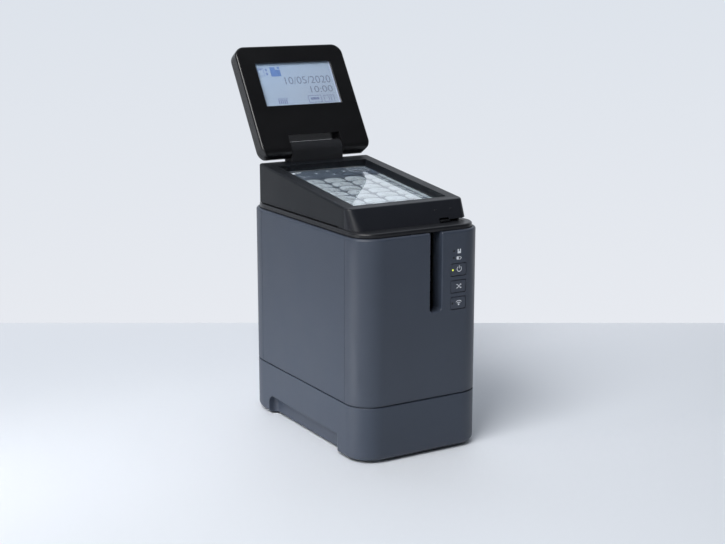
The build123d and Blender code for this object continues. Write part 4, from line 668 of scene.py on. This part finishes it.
def pad(left, low, width, height, arch):
    """One key: an arched outline, raised in two steps so that its top is a low pillow."""
    shape = flat_box(left, low, left + width, low + height)
    share = min(1.0, width / height)
    for top, radius in ((True, arch), (False, 1.6 * share)):
        bpy.ops.object.mode_set(mode="EDIT")
        bpy.ops.mesh.select_mode(type="VERT")
        bpy.ops.mesh.select_all(action="DESELECT")
        bpy.ops.object.mode_set(mode="OBJECT")
        levels = [point.co.y for point in shape.data.vertices]
        edge = max(levels) if top else min(levels)
        for point in shape.data.vertices:
            point.select = abs(point.co.y - edge) < 0.01 * mm
        bpy.ops.object.mode_set(mode="EDIT")
        bpy.ops.mesh.bevel(offset=radius * mm, segments=6, affect="VERTICES")
        bpy.ops.object.mode_set(mode="OBJECT")
    bpy.ops.object.mode_set(mode="EDIT")
    bpy.ops.mesh.select_mode(type="FACE")
    bpy.ops.mesh.select_all(action="SELECT")
    rise = (key_skin[1] - key_skin[0]) * mm
    bpy.ops.mesh.extrude_region_move(TRANSFORM_OT_translate={"value": (0, 0, 0.5 * rise)})
    for inward, upward in ((0.5, 0.3), (0.9, 0.14), (1.2, 0.06)):
        bpy.ops.mesh.inset(thickness=inward * share * mm, use_boundary=True)
        bpy.ops.transform.translate(value=(0, 0, upward * rise))
    bpy.ops.mesh.select_all(action="SELECT")
    bpy.ops.mesh.normals_make_consistent(inside=False)
    bpy.ops.mesh.select_mode(type="VERT")
    bpy.ops.object.mode_set(mode="OBJECT")
    return shape


pitch_across, pitch_up = 19.1, 12.5
key_left, key_low = -34.9, -53.6
key_height = 11.3
wide_columns, key_rows = 3, 7
columns = row_of(pad(key_left, key_low, 17.0, key_height, 6.8), wide_columns, (pitch_across, 0, 0))
last_column = pad(22.6, key_low, 13.0, key_height, 5.6)
edge_strip = pad(37.2, key_low, 3.8, key_height, 0.9)
bpy.ops.object.select_all(action="DESELECT")
for shape in (columns, last_column, edge_strip):
    shape.select_set(True)
bpy.context.view_layer.objects.active = columns
bpy.ops.object.join()
keys = row_of(columns, key_rows, (0, pitch_up, 0))
keys.name = "touch_keys"
bpy.ops.object.select_all(action="DESELECT")
keys.select_set(True)
bpy.context.view_layer.objects.active = keys
bpy.ops.object.shade_smooth_by_angle(angle=math.radians(50))
lay(keys, tray_floor @ Matrix.Translation((0, 0, key_skin[0] * mm)))
fit(keys, key_pale, "cover")


def number(text, left, low, width, height):
    """Plain figures drawn flat, made to fill a width and a height."""
    bpy.ops.object.select_all(action="DESELECT")
    bpy.ops.object.text_add(location=(0, 0, 0))
    bpy.context.object.data.body = text
    bpy.ops.object.convert(target="MESH")
    shape = bpy.context.object
    spans = [[point.co[axis] for point in shape.data.vertices] for axis in (0, 1)]
    starts = [min(span) for span in spans]
    scales = [size * mm / (max(span) - min(span)) for size, span in zip((width, height), spans)]
    shape.scale = (*scales, 1)
    shape.location = (left * mm - starts[0] * scales[0], low * mm - starts[1] * scales[1], 0)
    bpy.ops.object.transform_apply(location=True, rotation=True, scale=True)
    return shape


marks = []
mark_across, mark_up = 8.8, 5.2
last_column_middle = 29.2
figure_height = 2.8
for row in range(key_rows):
    for column in range(wide_columns + 1):
        x = key_left + mark_across + pitch_across * column if column < wide_columns else last_column_middle
        y = key_low + mark_up + pitch_up * (key_rows - 1 - row)
        figure = row * wide_columns + column + 1
        if column < wide_columns and figure < 10:
            marks.append(number(str(figure), x - 1.0, y - 1.4, 0.9 if figure == 1 else 1.6, figure_height))
        elif row == 3 and column == 1:
            marks.append(number("0", x - 1.0, y - 1.4, 1.9, figure_height))
        elif column == wide_columns:
            marks.append(flat_bar(x - 1.8, y, x + 1.8, y, 0.5))
        else:
            marks.append(flat_frame(x - 1.4, y - 1.2, x + 1.4, y + 1.2, 0.35, 0.5))
fit(raise_shapes("key_marks", marks, *ink_skin, tray_floor), key_ink, "cover")

marks = [
    flat_round(-10.9, 49.8, 1.9, 3, 180), flat_round(1.9, 54.0, 1.9, 3, 90),
    flat_round(2.4, 43.9, 1.9, 3, -90), flat_round(15.2, 50.1, 1.9, 3, 0),
    flat_frame(21.3, 45.6, 38.6, 57.6, 0.5, 2.4), flat_bar(23.5, 51.6, 36.4, 51.6, 0.45),
    flat_arc(30.6, 40.8, 1.9, 0.5),
    flat_box(-31.6, 53.0, -28.0, 57.0, 0.3),
    flat_box(-27.2, 55.9, -21.8, 57.0), flat_box(-27.2, 53.9, -23.2, 55.0),
    flat_frame(-31.6, 40.2, -26.0, 44.6, 0.45, 0.4), flat_bar(-24.4, 42.4, -20.6, 42.4, 0.5),
]
ink_on_header = (header_skin[1] - 0.01, header_skin[1] + 0.04)
fit(raise_shapes("header_marks", marks, *ink_on_header, tray_floor), header_ink, "cover")


# Clear covers: a sheet of toughened glass over the keys, and an acrylic window over the display. Both are
# polished, with faint smears where fingers have been.
smears, given, gives = start_group("smears", {"Least": 0.01, "Most": 0.06}, {"Roughness": "Float"})
tree = smears
coords = add(tree, "TexCoord").outputs["Object"]
drag = add(tree, "TexNoise", {"Vector": coords, "Scale": 45.0, "Detail": 4.0, "Distortion": 1.2})
sockets = {"Value": drag.outputs["Fac"], "From Min": 0.45, "From Max": 0.75}
sockets.update({"To Min": given["Least"], "To Max": given["Most"]})
tree.links.new(add(tree, "MapRange", sockets).outputs["Result"], gives["Roughness"])


def clear_cover(name, colour, bending):
    """A clear sheet that lets the lamps' light through to what lies under it."""
    material, tree, output = new_material(name)
    smeared = use_group(tree, smears, {})
    shader = add(tree, "BsdfPrincipled", {
        "Base Color": colour, "Roughness": smeared["Roughness"], "IOR": bending, "Transmission Weight": 1.0,
    })
    clear = add(tree, "BsdfTransparent")
    shadow = add(tree, "LightPath").outputs["Is Shadow Ray"]
    mix = add(tree, "MixShader", {"Fac": shadow, 1: shader.outputs["BSDF"], 2: clear.outputs["BSDF"]})
    tree.links.new(mix.outputs["Shader"], output.inputs["Surface"])
    return material


paint(clear_cover("key_glass", (0.97, 0.985, 0.98, 1), 1.5), "touch_glass")
paint(clear_cover("display_acrylic", (0.98, 0.98, 0.99, 1), 1.46), "display_window")


# The display's two shells are satin black mouldings. Inside their hinge notch the reflection is turned almost
# off, a painted shade for the shade that falls in the notch. The hinge block on the tray's rear rim is a
# duller black, and holds the shaft tightly, so that the display stays where it is put.
lean = 32.4
hinge_y, hinge_z = origin_y + 74.3, 218.6
notch_half_width, notch_height = 24.5, 10.8
past_wall = 0.1
notch_edge = (notch_half_width + past_wall) * mm
notch_top = (notch_height + past_wall) * mm


def panel_coords(tree):
    """Coordinates across and up the panel, from its hinge, in metres."""
    coords = add(tree, "TexCoord").outputs["Object"]
    place = {"Location": (0, hinge_y * mm, hinge_z * mm), "Rotation": (math.radians(90 - lean), 0, 0)}
    return add(tree, "Mapping", {"Vector": coords, **place}, vector_type="TEXTURE").outputs["Vector"]


display_black = plastic("display_black", (17, 17, 19), 0.30, Grain=3400.0, Wear=0.04)
hinge_black = plastic("hinge_black", (36, 37, 40), 0.62, Grain=2600.0, Depth=0.00005, Wear=0.02)
tree = display_black.node_tree
# Painted shade: the shells barely reflect inside the notch, so that it looks shaded there.
flat = add(tree, "SeparateXYZ", {"Vector": panel_coords(tree)}).outputs
across = add(tree, "Math", {0: flat["X"]}, operation="ABSOLUTE").outputs[0]
inside = add(tree, "Math", {0: across, 1: notch_edge}, operation="LESS_THAN").outputs[0]
below = add(tree, "Math", {0: flat["Y"], 1: notch_top}, operation="LESS_THAN").outputs[0]
painted_notch_shade = add(tree, "Math", {0: inside, 1: below}, operation="MULTIPLY").outputs[0]
shine = add(tree, "MapRange", {"Value": painted_notch_shade, "To Min": 0.5, "To Max": 0.03}).outputs["Result"]
tree.links.new(shine, tree.nodes["Principled BSDF"].inputs["Specular IOR Level"])
hinge_black.node_tree.nodes["Principled BSDF"].inputs["Specular IOR Level"].default_value = 0.06
paint(display_black, "display_bezel", "display_back_cover")
paint(hinge_black, "hinge_block")


# The display is a backlit monochrome panel: a pale grey-blue ground, bluer towards its upper left corner,
# with the fine grid of its dots. What it shows is a plain date and time, with simple boxes and bars.
panel_face = surface(0, hinge_y, hinge_z, 90 - lean)
lit_panel, tree, output = new_material("lit_panel")
flat = add(tree, "SeparateXYZ", {"Vector": panel_coords(tree)}).outputs
sideways = add(tree, "MapRange", {"Value": flat["X"], "From Min": -0.036, "From Max": 0.02}).outputs["Result"]
upwards = add(tree, "MapRange", {"Value": flat["Y"], "From Min": 0.079, "From Max": 0.05}).outputs["Result"]
fall = add(tree, "Math", {0: sideways, 1: upwards}, operation="ADD").outputs[0]
fall = add(tree, "Math", {0: fall, 1: 0.5}, operation="MULTIPLY").outputs[0]
tones = {"Color1": linear(118, 136, 156), "Color2": linear(115, 127, 141)}
ground = add(tree, "MixRGB", {"Fac": fall, **tones}).outputs["Color"]
rim_light = add(tree, "MapRange", {"Value": flat["X"], "From Min": 0.0346, "From Max": 0.0362})
tones = {"Color1": ground, "Color2": linear(150, 160, 184)}
ground = add(tree, "MixRGB", {"Fac": rim_light.outputs["Result"], **tones}).outputs["Color"]
grid = {"Scale": 2200.0, "Mortar Size": 0.05, "Brick Width": 0.5, "Row Height": 0.5}
tones = {"Color1": (1, 1, 1, 1), "Color2": (1, 1, 1, 1), "Mortar": (0.9, 0.9, 0.92, 1)}
dots = add(tree, "TexBrick", {"Vector": panel_coords(tree), **grid, **tones}, offset=0.0).outputs["Color"]
tones = {"Color1": ground, "Color2": dots}
lit = add(tree, "MixRGB", {"Fac": 1.0, **tones}, blend_type="MULTIPLY").outputs["Color"]
backlight = 0.22
sockets = {"Base Color": lit, "Emission Color": lit, "Emission Strength": backlight, "Roughness": 0.4}
shader = add(tree, "BsdfPrincipled", sockets)
tree.links.new(shader.outputs["BSDF"], output.inputs["Surface"])
paint(lit_panel, "lcd_module")


def lcd_ink(name, red, green, blue):
    """Dark dots of the panel, lit from behind like its ground."""
    material, tree, output = new_material(name)
    made = use_group(tree, moulded_plastic, {"Colour": linear(red, green, blue), "Gloss": 0.4, "Dust": 0.0})
    sockets = {"Base Color": made["Colour"], "Emission Color": made["Colour"], "Emission Strength": backlight}
    shader = add(tree, "BsdfPrincipled", {**sockets, "Roughness": made["Roughness"]})
    tree.links.new(shader.outputs["BSDF"], output.inputs["Surface"])
    return material


dots_skin = (3.88, 3.94)
reading = [number("10/05/2020", -11.0, 59.0, 44.0, 7.0), number("10:00", 11.0, 50.3, 21.5, 6.0)]
boxes = [
    flat_frame(6.3, 40.6, 19.1, 47.6, 0.5, 0.0), flat_box(8.6, 43.4, 16.8, 45.6),
    flat_frame(21.3, 40.6, 31.6, 47.2, 0.5, 0.0),
    flat_bar(26.4, 41.6, 26.4, 46.2, 0.6), flat_bar(28.6, 41.6, 28.6, 46.2, 0.6),
    flat_frame(-22.6, 45.2, -13.4, 46.4, 0.35, 0.0),
    *[flat_bar(x, 41.0, x, 44.8, 1.1) for x in (-22.0, -20.2, -18.4, -16.6, -14.8)],
]
signals = [
    flat_frame(-34.0, 67.8, -28.4, 75.6, 0.4, 0.3), flat_box(-33.0, 73.6, -30.0, 74.6),
    flat_box(-26.8, 72.4, -25.2, 74.6), flat_box(-26.8, 68.6, -25.2, 70.8),
]
block = [
    flat_box(-22.4, 67.0, -13.0, 73.4),
    flat_box(-22.4, 73.4, -17.4, 76.0), flat_box(-15.4, 74.2, -13.0, 76.0),
]
for name, shapes, colour in (
    ("display_reading", reading, (72, 83, 102)),
    ("display_boxes", boxes, (72, 82, 112)),
    ("display_signals", signals, (66, 86, 128)),
    ("display_block", block, (62, 90, 136)),
):
    shown_part = raise_shapes(name, shapes, *dots_skin, panel_face)
    fit(shown_part, lcd_ink(name + "_ink", *colour), "display")
